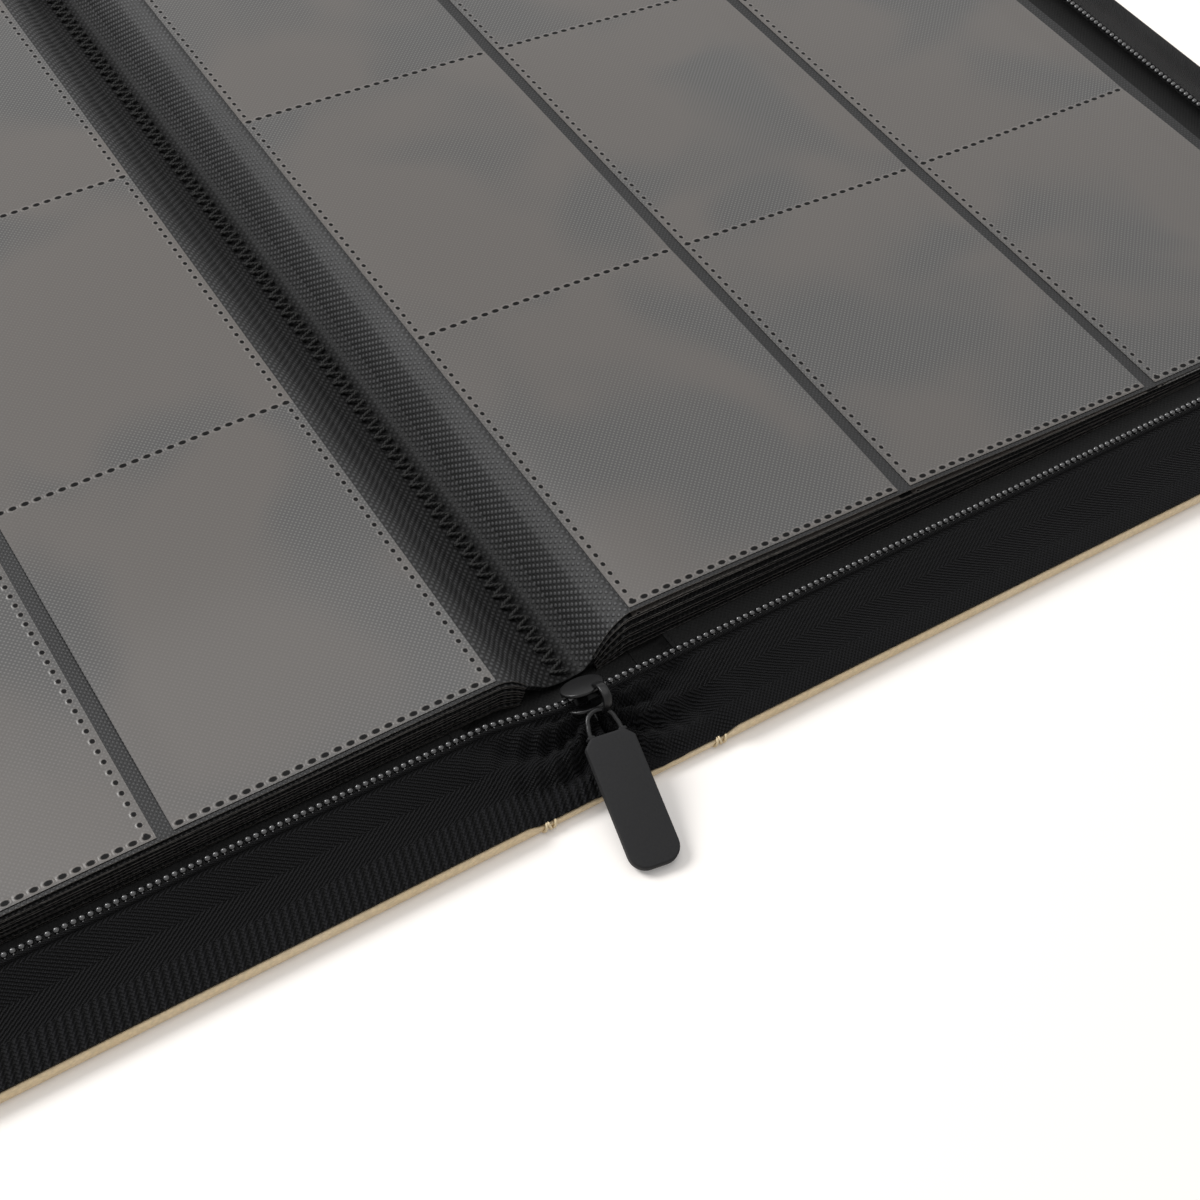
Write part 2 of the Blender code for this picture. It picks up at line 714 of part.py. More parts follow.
def build_slider():
    """Two plates joined by the post at the nose, with lips at the tail and a bail on top."""
    matrix = slider_matrix()
    inner = COIL_THICK / 2 + SLIDER_CLEARANCE
    outer = inner + SLIDER_PLATE
    body = add_object(
        "slider_body", outline_mesh("slider", slider_outline(), -outer, outer), PAINTED_METAL
    )
    reach = SLIDER_WIDTH
    channel_front = -COIL_WIDTH / 2 - SLIDER_CLEARANCE
    post_back = COIL_WIDTH / 2 + SLIDER_CLEARANCE
    post_half = 0.14 * SLIDER_WIDTH
    slot = SLIDER_SLOT / 2
    cutters = [
        box_cutter("coil_channel", (-reach, channel_front, -inner), (reach, post_back, inner)),
        box_cutter("nose_left", (-reach, 0, -inner), (-post_half, reach, inner)),
        box_cutter("nose_right", (post_half, 0, -inner), (reach, reach, inner)),
        box_cutter("tape_slot", (-reach, -reach, -slot), (reach, 0, slot)),
    ]
    for cutter in cutters:
        cutter.matrix_world = matrix
        boolean(body, cutter, "DIFFERENCE")
    body.matrix_world = matrix
    arch = []
    steps = 6
    half_span = 0.36 * SLIDER_LENGTH
    middle = -0.05 * SLIDER_LENGTH
    for radius_y, rise in ((half_span, BAIL_HEIGHT), (half_span - BAIL_THICK, BAIL_HEIGHT - BAIL_THICK)):
        side_arc = [
            (middle + radius_y * math.cos(math.pi * step / steps), rise * math.sin(math.pi * step / steps))
            for step in range(steps + 1)
        ]
        arch.append(side_arc)
    profile = [(y, outer + z) for y, z in arch[0]] + [(y, outer + z) for y, z in reversed(arch[1])]
    foot = METAL_EDGE
    first, last = profile[0], profile[steps]
    profile[0] = (first[0], outer - foot)
    profile[steps] = (last[0], outer - foot)
    profile[steps + 1] = (profile[steps + 1][0], outer - foot)
    profile[-1] = (profile[-1][0], outer - foot)
    mesh = outline_mesh("bail", profile, -BAIL_WIDTH / 2, BAIL_WIDTH / 2)
    turn = Matrix(((0, 0, 1, 0), (1, 0, 0, 0), (0, 1, 0, 0), (0, 0, 0, 1)))
    mesh.transform(turn)
    bail = cutter_object("bail_shape", mesh)
    bail.matrix_world = matrix
    boolean(body, bail, "UNION")
    return body


def pull_matrix():
    """The pull hangs from the bail over the cover's edge, its tip just clear of the table."""
    outer = COIL_THICK / 2 + SLIDER_CLEARANCE + SLIDER_PLATE
    clear = LAYER_GAP + LOOP_WIRE / 2
    pivot = slider_matrix() @ Vector((0, -0.15 * SLIDER_LENGTH, outer + clear))
    tip_height = TAB_THICK / 2 + LAYER_GAP
    pitch = math.asin((pivot.z - tip_height) / (LOOP_REACH + TAB_LENGTH))
    turn = Matrix.Rotation(PULL_TURN, 4, "Z")
    return Matrix.Translation(pivot) @ turn @ Matrix.Rotation(pitch, 4, "X")


def build_loop():
    """A wire under the bail, its two legs spread and moulded into the tab."""
    half_near = LOOP_TOP_WIDTH / 2 - LOOP_WIRE / 2
    half_far = LOOP_END_WIDTH / 2 - LOOP_WIRE / 2
    bend = 0.8 * LOOP_WIRE
    steps = 3
    points = [(half_far, -LOOP_REACH - SOCKET_DEPTH + LAYER_GAP, 0)]
    for sign, start in ((1, 0), (-1, 90)):
        for step in range(steps + 1):
            angle = math.radians(start + 90 * step / steps)
            x = sign * (half_near - bend) + bend * math.cos(angle)
            points.append((x, -bend + bend * math.sin(angle), 0))
    points.append((-half_far, -LOOP_REACH - SOCKET_DEPTH + LAYER_GAP, 0))
    loop = add_object("pull_loop", wire_mesh("pull_loop", points, LOOP_WIRE, 1), PAINTED_METAL)
    loop.matrix_world = pull_matrix()
    return loop


def build_tab():
    """A flat moulded tab, its top corners cut off and its end rounded."""
    top = -LOOP_REACH
    end = top - TAB_LENGTH
    half = TAB_WIDTH / 2
    outline = [(half, top - TAB_SHOULDER), (half - TAB_SHOULDER, top)]
    outline += [(-half + TAB_SHOULDER, top), (-half, top - TAB_SHOULDER)]
    steps = 5
    for sign, start in ((-1, 180), (1, 270)):
        for step in range(steps + 1):
            angle = math.radians(start + 90 * step / steps)
            outline.append(
                (
                    sign * (half - TAB_END_RADIUS) + TAB_END_RADIUS * math.cos(angle),
                    end + TAB_END_RADIUS + TAB_END_RADIUS * math.sin(angle),
                )
            )
    mesh = outline_mesh("pull_tab", outline, -TAB_THICK / 2, TAB_THICK / 2)
    tab = add_object("pull_tab", mesh, TAB_RUBBER)
    tab.matrix_world = pull_matrix()
    half_socket = LOOP_WIRE / 2 + SOCKET_CLEARANCE
    centre = LOOP_END_WIDTH / 2 - LOOP_WIRE / 2
    for name, sign in (("socket_left", -1), ("socket_right", 1)):
        socket = box_cutter(
            name,
            (sign * centre - half_socket, top - SOCKET_DEPTH, -half_socket),
            (sign * centre + half_socket, top + SOCKET_DEPTH, half_socket),
        )
        socket.matrix_world = tab.matrix_world
        boolean(tab, socket, "DIFFERENCE")
    return tab


def page_pivot():
    """The point about which the top leaf turns over while its margin swings at its root."""
    root_x, root_z = RIGHT_ROOT
    arm = (GUTTER_MARGIN - root_x, RIGHT_CREST - root_z)
    turned = (
        root_x + arm[0] * math.cos(MARGIN_TURN) - arm[1] * math.sin(MARGIN_TURN),
        root_z + arm[0] * math.sin(MARGIN_TURN) + arm[1] * math.cos(MARGIN_TURN),
    )
    half = ((turned[0] - GUTTER_MARGIN) / 2, (turned[1] - RIGHT_CREST) / 2)
    lean = math.tan(PAGE_TURN / 2)
    return (GUTTER_MARGIN + half[0] - half[1] / lean, 0, RIGHT_CREST + half[1] + half[0] / lean)


def build_joints(covers, stacks, turning, slider, pull):
    """Empties on the joint axes, with the pieces that turn or slide about them."""
    for side, sign in SIDES.items():
        hinge = joint_empty(f"axis_cover_{side}", (sign * HINGE_X, 0, HINGE_Z))
        hang_on(hinge, covers[side])
    left_x, left_z = LEFT_ROOT
    hang_on(joint_empty("axis_stack_left", (-left_x, 0, left_z + LEFT_PIVOT_RISE)), stacks["left"])
    right_x, right_z = RIGHT_ROOT
    stack_axis = joint_empty("axis_stack_right", (right_x, 0, right_z))
    hang_on(stack_axis, stacks["right"])
    margin, leaf, films = turning
    margin_axis = joint_empty("axis_margin", (right_x, 0, right_z))
    page_axis = joint_empty("axis_page", page_pivot())
    hang_on(margin_axis, [margin])
    hang_on(page_axis, [leaf, *films])
    hang_on(stack_axis, [margin_axis, page_axis])
    slider_axis = joint_empty("axis_slider", slider_matrix().translation)
    pull_axis = joint_empty("axis_pull", pull_matrix().translation)
    pull_axis.rotation_euler = (0, 0, PULL_TURN)
    hang_on(slider_axis, [slider, pull_axis])
    hang_on(pull_axis, pull)


clear_scene()
PARTS = make_collection("trading_card_binder")
CUTTERS = make_collection("cutters")
LEATHERCLOTH = make_material("beige_leathercloth", (0.60, 0.46, 0.29), 0.55)
BOARD = make_material("grey_board", (0.30, 0.28, 0.25), 0.9)
LINING = make_material("black_lining", (0.015, 0.015, 0.016), 0.85)
POCKET_BACKING = make_material("black_page_film", (0.02, 0.02, 0.021), 0.5)
FILM = make_material("clear_pocket_film", (0.16, 0.155, 0.15), 0.2)
THREAD = make_material("black_thread", (0.012, 0.012, 0.013), 0.6)
TAPE = make_material("black_zip_tape", (0.01, 0.01, 0.011), 0.85)
COIL = make_material("black_coil_nylon", (0.015, 0.015, 0.016), 0.3)
PAINTED_METAL = make_material("black_painted_zinc", (0.018, 0.018, 0.02), 0.4, 0.3)
TAB_RUBBER = make_material("black_moulded_tab", (0.03, 0.03, 0.032), 0.6)

build_spine()
build_fold()
cover_pieces = {}
stack_pieces = {}
for side in SIDES:
    pieces = build_cover(side)
    pieces += [build_tape(side, run) for run in ("foot", "fore", "head")]
    pieces.append(build_coil(side))
    cover_pieces[side] = pieces
    stack_pieces[side] = build_leaves(side)
stack_pieces["left"] += build_films("left")
margin_piece, leaf_piece = build_turning_leaf()
turning_pieces = (margin_piece, leaf_piece, build_films("right"))
for side in SIDES:
    for end in ("foot", "head"):
        build_tape_end(side, end)
build_head_stop()
build_joints(
    cover_pieces, stack_pieces, turning_pieces, build_slider(), [build_loop(), build_tab()]
)
bpy.context.view_layer.update()
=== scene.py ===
import math
import bpy
import bmesh
import numpy as np
from mathutils import Matrix, Vector


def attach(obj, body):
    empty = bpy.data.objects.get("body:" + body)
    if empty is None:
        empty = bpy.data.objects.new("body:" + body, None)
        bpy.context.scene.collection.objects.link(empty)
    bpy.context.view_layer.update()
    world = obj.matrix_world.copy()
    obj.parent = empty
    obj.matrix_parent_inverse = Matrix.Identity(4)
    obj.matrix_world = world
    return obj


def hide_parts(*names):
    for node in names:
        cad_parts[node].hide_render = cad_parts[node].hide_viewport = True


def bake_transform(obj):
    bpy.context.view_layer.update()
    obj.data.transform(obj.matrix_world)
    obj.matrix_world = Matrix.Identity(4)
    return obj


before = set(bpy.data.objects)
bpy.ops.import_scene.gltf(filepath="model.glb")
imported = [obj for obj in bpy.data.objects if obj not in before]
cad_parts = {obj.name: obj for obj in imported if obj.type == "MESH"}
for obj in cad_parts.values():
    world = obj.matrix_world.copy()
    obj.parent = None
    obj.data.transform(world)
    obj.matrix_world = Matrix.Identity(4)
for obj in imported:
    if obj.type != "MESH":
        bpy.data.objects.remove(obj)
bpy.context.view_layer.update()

# Dimensions are in millimetres in the row frame: X across, Y up the spine, Z off the table
mm = 0.001


# Small tools

def hexToLinear(code):
    values = [int(code[i:i + 2], 16) / 255 for i in (1, 3, 5)]
    return tuple(v / 12.92 if v <= 0.04045 else ((v + 0.055) / 1.055) ** 2.4 for v in values) + (1.0,)


def setInputs(tree, node, inputs):
    # by name or in order: an input takes a plain value, a socket or another node's first output
    for name, value in inputs.items() if isinstance(inputs, dict) else enumerate(inputs):
        if isinstance(value, bpy.types.Node):
            value = value.outputs[0]
        if isinstance(value, bpy.types.NodeSocket):
            tree.links.new(value, node.inputs[name])
        else:
            node.inputs[name].default_value = value


def addNode(tree, kind, inputs=None, **settings):
    node = tree.nodes.new("ShaderNode" + kind)
    for name, value in settings.items():
        setattr(node, name, value)
    setInputs(tree, node, inputs or {})
    return node


def startMaterial(name, **sockets):
    material = bpy.data.materials.new(name)
    material.use_nodes = True
    tree = material.node_tree
    shader = tree.nodes["Principled BSDF"]
    for key, value in sockets.items():
        shader.inputs[key.replace("_", " ")].default_value = value
    return material, tree, shader


def smoothCurve(points, xs):
    # monotone cubic through the given points, so no curve overshoots its neighbours
    px, pz = np.array(points, float).T
    step = np.diff(px)
    slope = np.diff(pz) / step
    tangent = np.zeros(len(px))
    for i in range(1, len(px) - 1):
        if slope[i - 1] * slope[i] > 0:
            w1, w2 = 2 * step[i] + step[i - 1], step[i] + 2 * step[i - 1]
            tangent[i] = (w1 + w2) / (w1 / slope[i - 1] + w2 / slope[i])
    tangent[0], tangent[-1] = slope[0], slope[-1]
    k = np.clip(np.searchsorted(px, xs) - 1, 0, len(step) - 1)
    t = (xs - px[k]) / step[k]
    return ((2 * t ** 3 - 3 * t ** 2 + 1) * pz[k] + (t ** 3 - 2 * t ** 2 + t) * step[k] * tangent[k]
            + (3 * t ** 2 - 2 * t ** 3) * pz[k + 1] + (t ** 3 - t ** 2) * step[k] * tangent[k + 1])


def smoothStep(low, high, x):
    t = np.clip((x - low) / (high - low), 0, 1)
    return t * t * (3 - 2 * t)


def unit(vectors):
    return vectors / np.linalg.norm(vectors, axis=-1, keepdims=True)


def stack(*parts):
    return np.stack(parts, axis=-1)


def easePath(path):
    # a finer path with its corners eased
    for _ in range(2):
        finer = np.empty((2 * len(path) - 1, 3))
        finer[::2] = path
        finer[1::2] = (path[:-1] + path[1:]) / 2
        finer[1:-1] = (finer[:-2] + 2 * finer[1:-1] + finer[2:]) / 4
        path = finer
    return path


def gridQuads(index):
    return stack(index[:-1, :-1], index[1:, :-1], index[1:, 1:], index[:-1, 1:]).reshape(-1, 4)


def ringQuads(index):
    a, b = index[:-1], index[1:]
    return stack(a, np.roll(a, -1, 1), np.roll(b, -1, 1), b).reshape(-1, 4)


def ringFaces(index):
    # the faces of a row of rings, closed at both ends
    return ringQuads(index).tolist() + [index[0][::-1].tolist(), index[-1].tolist()]


def sheetGrid(x, y, line):
    # a line of heights drawn out along the spine
    gx, gy = np.meshgrid(x, y, indexing="ij")
    return gx, gy, np.repeat(line[:, None], len(y), axis=1)


def oval(x, y, wide, deep, step):
    return [(x + wide * math.cos(a), y + deep * math.sin(a)) for a in np.radians(np.arange(0, 360, step))]


def makeMesh(name, points, faces, material, uv=None, smooth=True):
    mesh = bpy.data.meshes.new(name)
    mesh.from_pydata((np.asarray(points, float) * mm).tolist(), [], faces)
    if uv is not None:
        layer = mesh.uv_layers.new(name="flat")
        corners = np.zeros(len(mesh.loops), dtype=np.int64)
        mesh.loops.foreach_get("vertex_index", corners)
        layer.data.foreach_set("uv", np.asarray(uv, np.float32)[corners].ravel())
    mesh.polygons.foreach_set("use_smooth", [smooth] * len(mesh.polygons))
    mesh.materials.append(material)
    mesh.update()
    piece = bpy.data.objects.new(name, mesh)
    bpy.context.scene.collection.objects.link(piece)
    return piece


def makeSheet(name, top, thickness, material, uv=None):
    # a closed thin sheet: its upper face, its underside and the cut edges all round
    rows, columns = top.shape[:2]
    normal = unit(np.cross(np.gradient(top, axis=0), np.gradient(top, axis=1)))
    if normal[..., 2].mean() < 0:
        normal = -normal
    points = np.concatenate([top.reshape(-1, 3), (top - normal * thickness).reshape(-1, 3)])
    index = np.arange(rows * columns).reshape(rows, columns)
    flip = np.cross(top[1, 0] - top[0, 0], top[0, 1] - top[0, 0])[2] < 0
    upper = gridQuads(index)[:, ::-1] if flip else gridQuads(index)
    lower = upper[:, ::-1] + rows * columns
    # the cut edges have corners of their own, so that the faces shade flat right up to them
    rim = np.concatenate([index[0, :], index[1:, -1], index[-1, -2::-1], index[-2:0:-1, 0]])
    points = np.concatenate([points, points[rim], points[rim + rows * columns]])
    edge = 2 * rows * columns + np.arange(len(rim))
    sides = stack(edge, np.roll(edge, -1), np.roll(edge, -1) + len(rim), edge + len(rim))
    if not flip:
        sides = sides[:, ::-1]
    if uv is not None:
        uv = uv.reshape(-1, 2)
        uv = np.concatenate([uv, uv, uv[rim], uv[rim]])
    piece = makeMesh(name, points, np.concatenate([upper, lower, sides]).tolist(), material, uv)
    piece.data.polygons.foreach_set("use_smooth", [True] * (len(upper) * 2) + [False] * len(sides))
    return piece


def sweepTube(path, radius, sides):
    # points and faces of a round tube along a path
    path = np.asarray(path, float)
    tangent = unit(np.gradient(path, axis=0))
    up = np.array([0.0, 0.0, 1.0]) if abs(tangent[0][2]) < 0.9 else np.array([1.0, 0.0, 0.0])
    angle = np.arange(sides) * 2 * np.pi / sides
    rings = []
    for place, along in zip(path, tangent):
        side = np.cross(along, up)
        side /= np.linalg.norm(side)
        up = np.cross(side, along)
        rings.append(place + radius * (np.cos(angle)[:, None] * side + np.sin(angle)[:, None] * up))
    return np.concatenate(rings), ringFaces(np.arange(len(path) * sides).reshape(-1, sides))


def joinParts(parts):
    points, faces, start = [], [], 0
    for some, more in parts:
        points.append(some)
        faces += [[i + start for i in face] for face in more]
        start += len(some)
    return np.concatenate(points), faces


def faceOut(piece):
    # turn every face of a closed mesh outwards
    check = bmesh.new()
    check.from_mesh(piece.data)
    bmesh.ops.recalc_face_normals(check, faces=check.faces)
    check.to_mesh(piece.data)
    check.free()


def finishPiece(piece, body, nodes=()):
    if body:
        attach(piece, body)
    if nodes:
        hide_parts(*nodes)
    return piece


# Camera, floor and light

view = {
    "place": (-0.1468, -0.3603, 0.3534),
    "right": (0.8461, -0.5310, 0.0469),
    "down": (-0.3872, -0.6726, -0.6306),
    "forward": (0.3664, 0.5154, -0.7747),
    "lens": 60.5, "sensor": 36, "nearest": 0.01,
}
studio = {
    "floorSize": 6.0,
    "floorColour": "#f6f1ec",
    "floorLift": 0.13,       # extra white that only the camera sees on the floor
    "keyPlace": (-0.75, 0.85, 1.1),
    "keySize": 0.8,
    "keyPower": 24.0,
    "topPlace": (0.25, 0.2, 1.5),
    "topSize": 1.6,
    "topPower": 7.0,
    "skyLevel": 0.34,
}


def seenDirectly(tree):
    # 1 for rays from the camera and for reflections
    rays = addNode(tree, "LightPath")
    return rays, addNode(tree, "Math", {0: rays.outputs["Is Camera Ray"], 1: rays.outputs["Is Glossy Ray"]},
                         operation="MAXIMUM")


def buildStudio():
    scene = bpy.context.scene
    cameraData = bpy.data.cameras.new("photoCamera")
    cameraData.lens = view["lens"]
    cameraData.sensor_width = view["sensor"]
    cameraData.clip_start = view["nearest"]
    camera = bpy.data.objects.new("photoCamera", cameraData)
    right, down, forward = (Vector(view[key]) for key in ("right", "down", "forward"))
    turned = Matrix((right, -down, -forward)).transposed().to_4x4()
    camera.matrix_world = Matrix.Translation(view["place"]) @ turned
    scene.collection.objects.link(camera)
    scene.camera = camera
    scene.view_settings.view_transform = "Standard"

    paper, tree, shader = startMaterial("seamlessPaperPlain", Roughness=0.9)
    seen = seenDirectly(tree)[1]
    lift = addNode(tree, "Math", {0: seen, 1: studio["floorLift"]}, operation="MULTIPLY")
    setInputs(tree, shader, {"Specular IOR Level": 0.1, "Base Color": hexToLinear(studio["floorColour"]),
                             "Emission Strength": lift, "Emission Color": (1, 1, 1, 1)})
    half = studio["floorSize"] / 2 / mm
    floor = makeMesh("studioFloor", [(-half, -half, 0), (half, -half, 0), (half, half, 0), (-half, half, 0)],
                     [(0, 1, 2, 3)], paper, smooth=False)

    world = bpy.data.worlds.new("whiteStudio")
    world.use_nodes = True
    scene.world = world
    tree = world.node_tree
    rays, seen = seenDirectly(tree)
    seen = addNode(tree, "Math", {0: seen, 1: rays.outputs["Is Transmission Ray"]}, operation="MAXIMUM")
    level = addNode(tree, "MapRange", {"Value": seen, "To Min": studio["skyLevel"], "To Max": 1.0})
    setInputs(tree, tree.nodes["Background"], {"Strength": level, "Color": (1, 1, 1, 1)})

    for name in ("key", "top"):
        lampData = bpy.data.lights.new(name + "Lamp", "AREA")
        lampData.shape = "DISK"
        lampData.size = studio[name + "Size"]
        lampData.energy = studio[name + "Power"]
        lamp = bpy.data.objects.new(name + "Lamp", lampData)
        lamp.location = studio[name + "Place"]
        lamp.rotation_euler = (-Vector(lamp.location)).to_track_quat("-Z", "Y").to_euler()
        scene.collection.objects.link(lamp)


buildStudio()
print("camera, floor and light ready")


# Materials

def dotLattice(tree, coordinates, pitch, radius, soft):
    # staggered round dots: a square grid of cells turned by 45 degrees
    turned = addNode(tree, "Mapping", {"Vector": coordinates, "Rotation": (0, 0, math.pi / 4),
                                       "Scale": (1 / pitch, 1 / pitch, 0)}, vector_type="POINT")
    cell = addNode(tree, "VectorMath", [turned], operation="FRACTION")
    middle = addNode(tree, "VectorMath", [cell, (0.5, 0.5, 0)], operation="SUBTRACT")
    distance = addNode(tree, "VectorMath", [middle], operation="LENGTH")
    return addNode(tree, "MapRange", {"Value": distance.outputs["Value"], "From Min": radius - soft,
                                      "From Max": radius + soft, "To Min": 1.0, "To Max": 0.0},
                   interpolation_type="SMOOTHSTEP")


def tintAndRelief(tree, shader, share, dark, light, height, depth, strength):
    # a colour between two tones and a relief from one pattern
    colour = addNode(tree, "Mix", {0: share, 6: hexToLinear(dark), 7: hexToLinear(light)}, data_type="RGBA")
    bump = addNode(tree, "Bump", {"Height": height, "Distance": depth * mm, "Strength": strength})
    setInputs(tree, shader, {"Base Color": colour.outputs[2], "Normal": bump})


def embossedSheetMaterial(name, dark, light, pitch, depth, roughness, crease=None):
    # polypropylene sheet, calendered with a fine woven-look emboss: black with rows of small soft glints
    material, tree, shader = startMaterial(name, Roughness=roughness, IOR=1.49, Specular_IOR_Level=0.35)
    flat = addNode(tree, "UVMap", uv_map="flat")
    dots = dotLattice(tree, flat, pitch, 0.3, 0.16)
    cloud = addNode(tree, "TexNoise", {"Vector": flat, "Scale": 0.06, "Detail": 3.0}, noise_dimensions="2D")
    tone = addNode(tree, "Mix", {0: dots, 6: hexToLinear(dark), 7: hexToLinear(light)}, data_type="RGBA")
    shade = addNode(tree, "MapRange", {"Value": cloud, "From Min": 0.3, "From Max": 0.7,
                                       "To Min": 0.75, "To Max": 1.2})
    if crease:
        # painted shade: the sheet is painted darker where it dips into the fold, between these distances from the
        # spine, and shines less there
        place = addNode(tree, "SeparateXYZ", [addNode(tree, "TexCoord").outputs["Object"]])
        offset = addNode(tree, "Math", [place], operation="ABSOLUTE")
        paintedFoldShade = addNode(tree, "MapRange", {"Value": offset, "From Min": crease[0] * mm, "From Max": crease[1] * mm,
                                          "To Min": 0.3, "To Max": 1.0}, interpolation_type="SMOOTHSTEP")
        shade = addNode(tree, "Math", [shade, paintedFoldShade], operation="MULTIPLY")
        shine = addNode(tree, "Math", [paintedFoldShade, 0.36], operation="MULTIPLY")
        setInputs(tree, shader, {"Specular IOR Level": shine})
    colour = addNode(tree, "VectorMath", [tone.outputs[2], shade], operation="MULTIPLY")
    bump = addNode(tree, "Bump", {"Height": dots, "Distance": depth * mm, "Strength": 1.0})
    setInputs(tree, shader, {"Base Color": colour, "Normal": bump})
    return material


film = {
    "columnPitch": 77.0, "start": 16.5, "openingStrip": 3.6, "rowPitch": 93.7,
    "weldPitch": 2.92, "weldInset": 1.6, "weldRadius": 0.6, "rimRadius": 0.92, "dashStretch": 0.65,
    "emboss": 1.2, "cloudSize": 46.0, "specular": 0.5, "coat": 0.45, "relief": 0.13,
    "haze": "#494440", "poolTone": "#343332", "weld": "#050505", "rim": "#7a746f", "strip": "#151515",
    "glint": "#d8d4cf",
}


def weldDistance(tree, across, along, stretch):
    squeezed = addNode(tree, "Math", [across, stretch], operation="MULTIPLY")
    flat = addNode(tree, "CombineXYZ", [squeezed, along])
    return addNode(tree, "VectorMath", [flat], operation="LENGTH").outputs["Value"]


def pocketFilmMaterial():
    # cast polypropylene film over black sheet: a milky sheen with soft darker pools, a fine staggered emboss with
    # painted glints, and dark weld points whose relief catches the light on one side, each ringed with a painted
    # highlight
    material, tree, shader = startMaterial("polypropyleneFilmCast", Roughness=0.4, IOR=1.49,
                                           Coat_Weight=film["coat"], Coat_Roughness=0.14, Coat_IOR=1.5)
    flat = addNode(tree, "UVMap", uv_map="flat")     # u from the middle of the spine, v along it
    across = addNode(tree, "SeparateXYZ", [flat])
    v = across.outputs[1]
    u = addNode(tree, "Math", [across.outputs[0], film["start"]], operation="SUBTRACT")
    u = addNode(tree, "Math", [u, film["columnPitch"]], operation="FLOORED_MODULO")
    step = film["weldPitch"] / 2
    # weld points along the fold side of the film
    du = addNode(tree, "Math", [u, film["weldInset"]], operation="SUBTRACT")
    dv = addNode(tree, "Math", [v, step], operation="PINGPONG")
    columnWeld = weldDistance(tree, du, dv, 1.15)
    # and along the bottom of every row, drawn out into dashes
    half = film["rowPitch"] / 2
    row = addNode(tree, "Math", [v, half], operation="PINGPONG")
    row = addNode(tree, "Math", [half, row], operation="SUBTRACT")
    along = addNode(tree, "Math", [du, step], operation="PINGPONG")
    rowWeld = weldDistance(tree, along, row, film["dashStretch"])
    nearest = addNode(tree, "Math", [columnWeld, rowWeld], operation="MINIMUM")
    dot, rim = (addNode(tree, "MapRange", {"Value": nearest, "From Min": radius - soft, "From Max": radius + soft,
                                           "To Min": 1.0, "To Max": 0.0}, interpolation_type="SMOOTHSTEP")
                for radius, soft in ((film["weldRadius"], 0.14), (film["rimRadius"], 0.26)))
    # soft darker pools of random shape, different in every pocket
    rowNumber = addNode(tree, "Math", [v, 1 / film["rowPitch"], 1.5], operation="MULTIPLY_ADD")
    rowNumber = addNode(tree, "Math", [rowNumber], operation="FLOOR")
    rowShift = addNode(tree, "Math", [rowNumber, 2.7], operation="MULTIPLY")
    place = addNode(tree, "TexCoord").outputs["Object"]
    pool = addNode(tree, "TexNoise", {"Vector": place, "W": rowShift, "Scale": 1 / (film["cloudSize"] * mm),
                                      "Detail": 1.5, "Roughness": 0.4, "Distortion": 0.5}, noise_dimensions="4D")
    pool = addNode(tree, "MapRange", {"Value": pool, "From Min": 0.42, "From Max": 0.62},
                   interpolation_type="SMOOTHSTEP")
    emboss = dotLattice(tree, flat, film["emboss"] / math.sqrt(2), 0.25, 0.15)
    # painted highlights: the emboss dots are painted lighter, more so within the pools
    glint = addNode(tree, "MapRange", {"Value": pool, "To Min": 0.03, "To Max": 0.11})
    glint = addNode(tree, "Math", [emboss, glint], operation="MULTIPLY")
    # painted highlight: a pale ring round every weld point, for the light its raised edge catches
    paintedRimHighlight = addNode(tree, "Math", [rim, 0.3], operation="MULTIPLY")
    # bare sheet shows in the strip between two columns
    bare = addNode(tree, "Math", [u, film["columnPitch"] - film["openingStrip"]], operation="GREATER_THAN")
    colour = hexToLinear(film["haze"])
    for share, tone in ((pool, "poolTone"), (glint, "glint"), (paintedRimHighlight, "rim"), (dot, "weld"), (bare, "strip")):
        layer = addNode(tree, "Mix", {0: share, 6: colour, 7: hexToLinear(film[tone])}, data_type="RGBA")
        colour = layer.outputs[2]
    # the melted points and the bare strip don't shine
    dull = addNode(tree, "Math", [dot, bare], operation="MAXIMUM")
    for socket, level in (("Specular IOR Level", film["specular"]), ("Coat Weight", film["coat"])):
        shine = addNode(tree, "MapRange", {"Value": dull, "To Min": level, "To Max": 0.15 * level})
        setInputs(tree, shader, {socket: shine})
    height = addNode(tree, "Math", [dot, -1.6, rim], operation="MULTIPLY_ADD")
    height = addNode(tree, "Math", [emboss, 0.1, height], operation="MULTIPLY_ADD")
    bump = addNode(tree, "Bump", {"Height": height, "Distance": film["relief"] * mm, "Strength": 0.8})
    setInputs(tree, shader, {"Base Color": colour, "Normal": bump})
    return material


tape = {"dark": "#020202", "light": "#18181a", "herringPitch": 1.3, "herringArm": 6.0, "weavePitch": 1.0,
        "barPitch": 1.8, "barZone": 7.0, "barSoft": 0.6, "threadPitch": 0.62, "relief": 0.26}


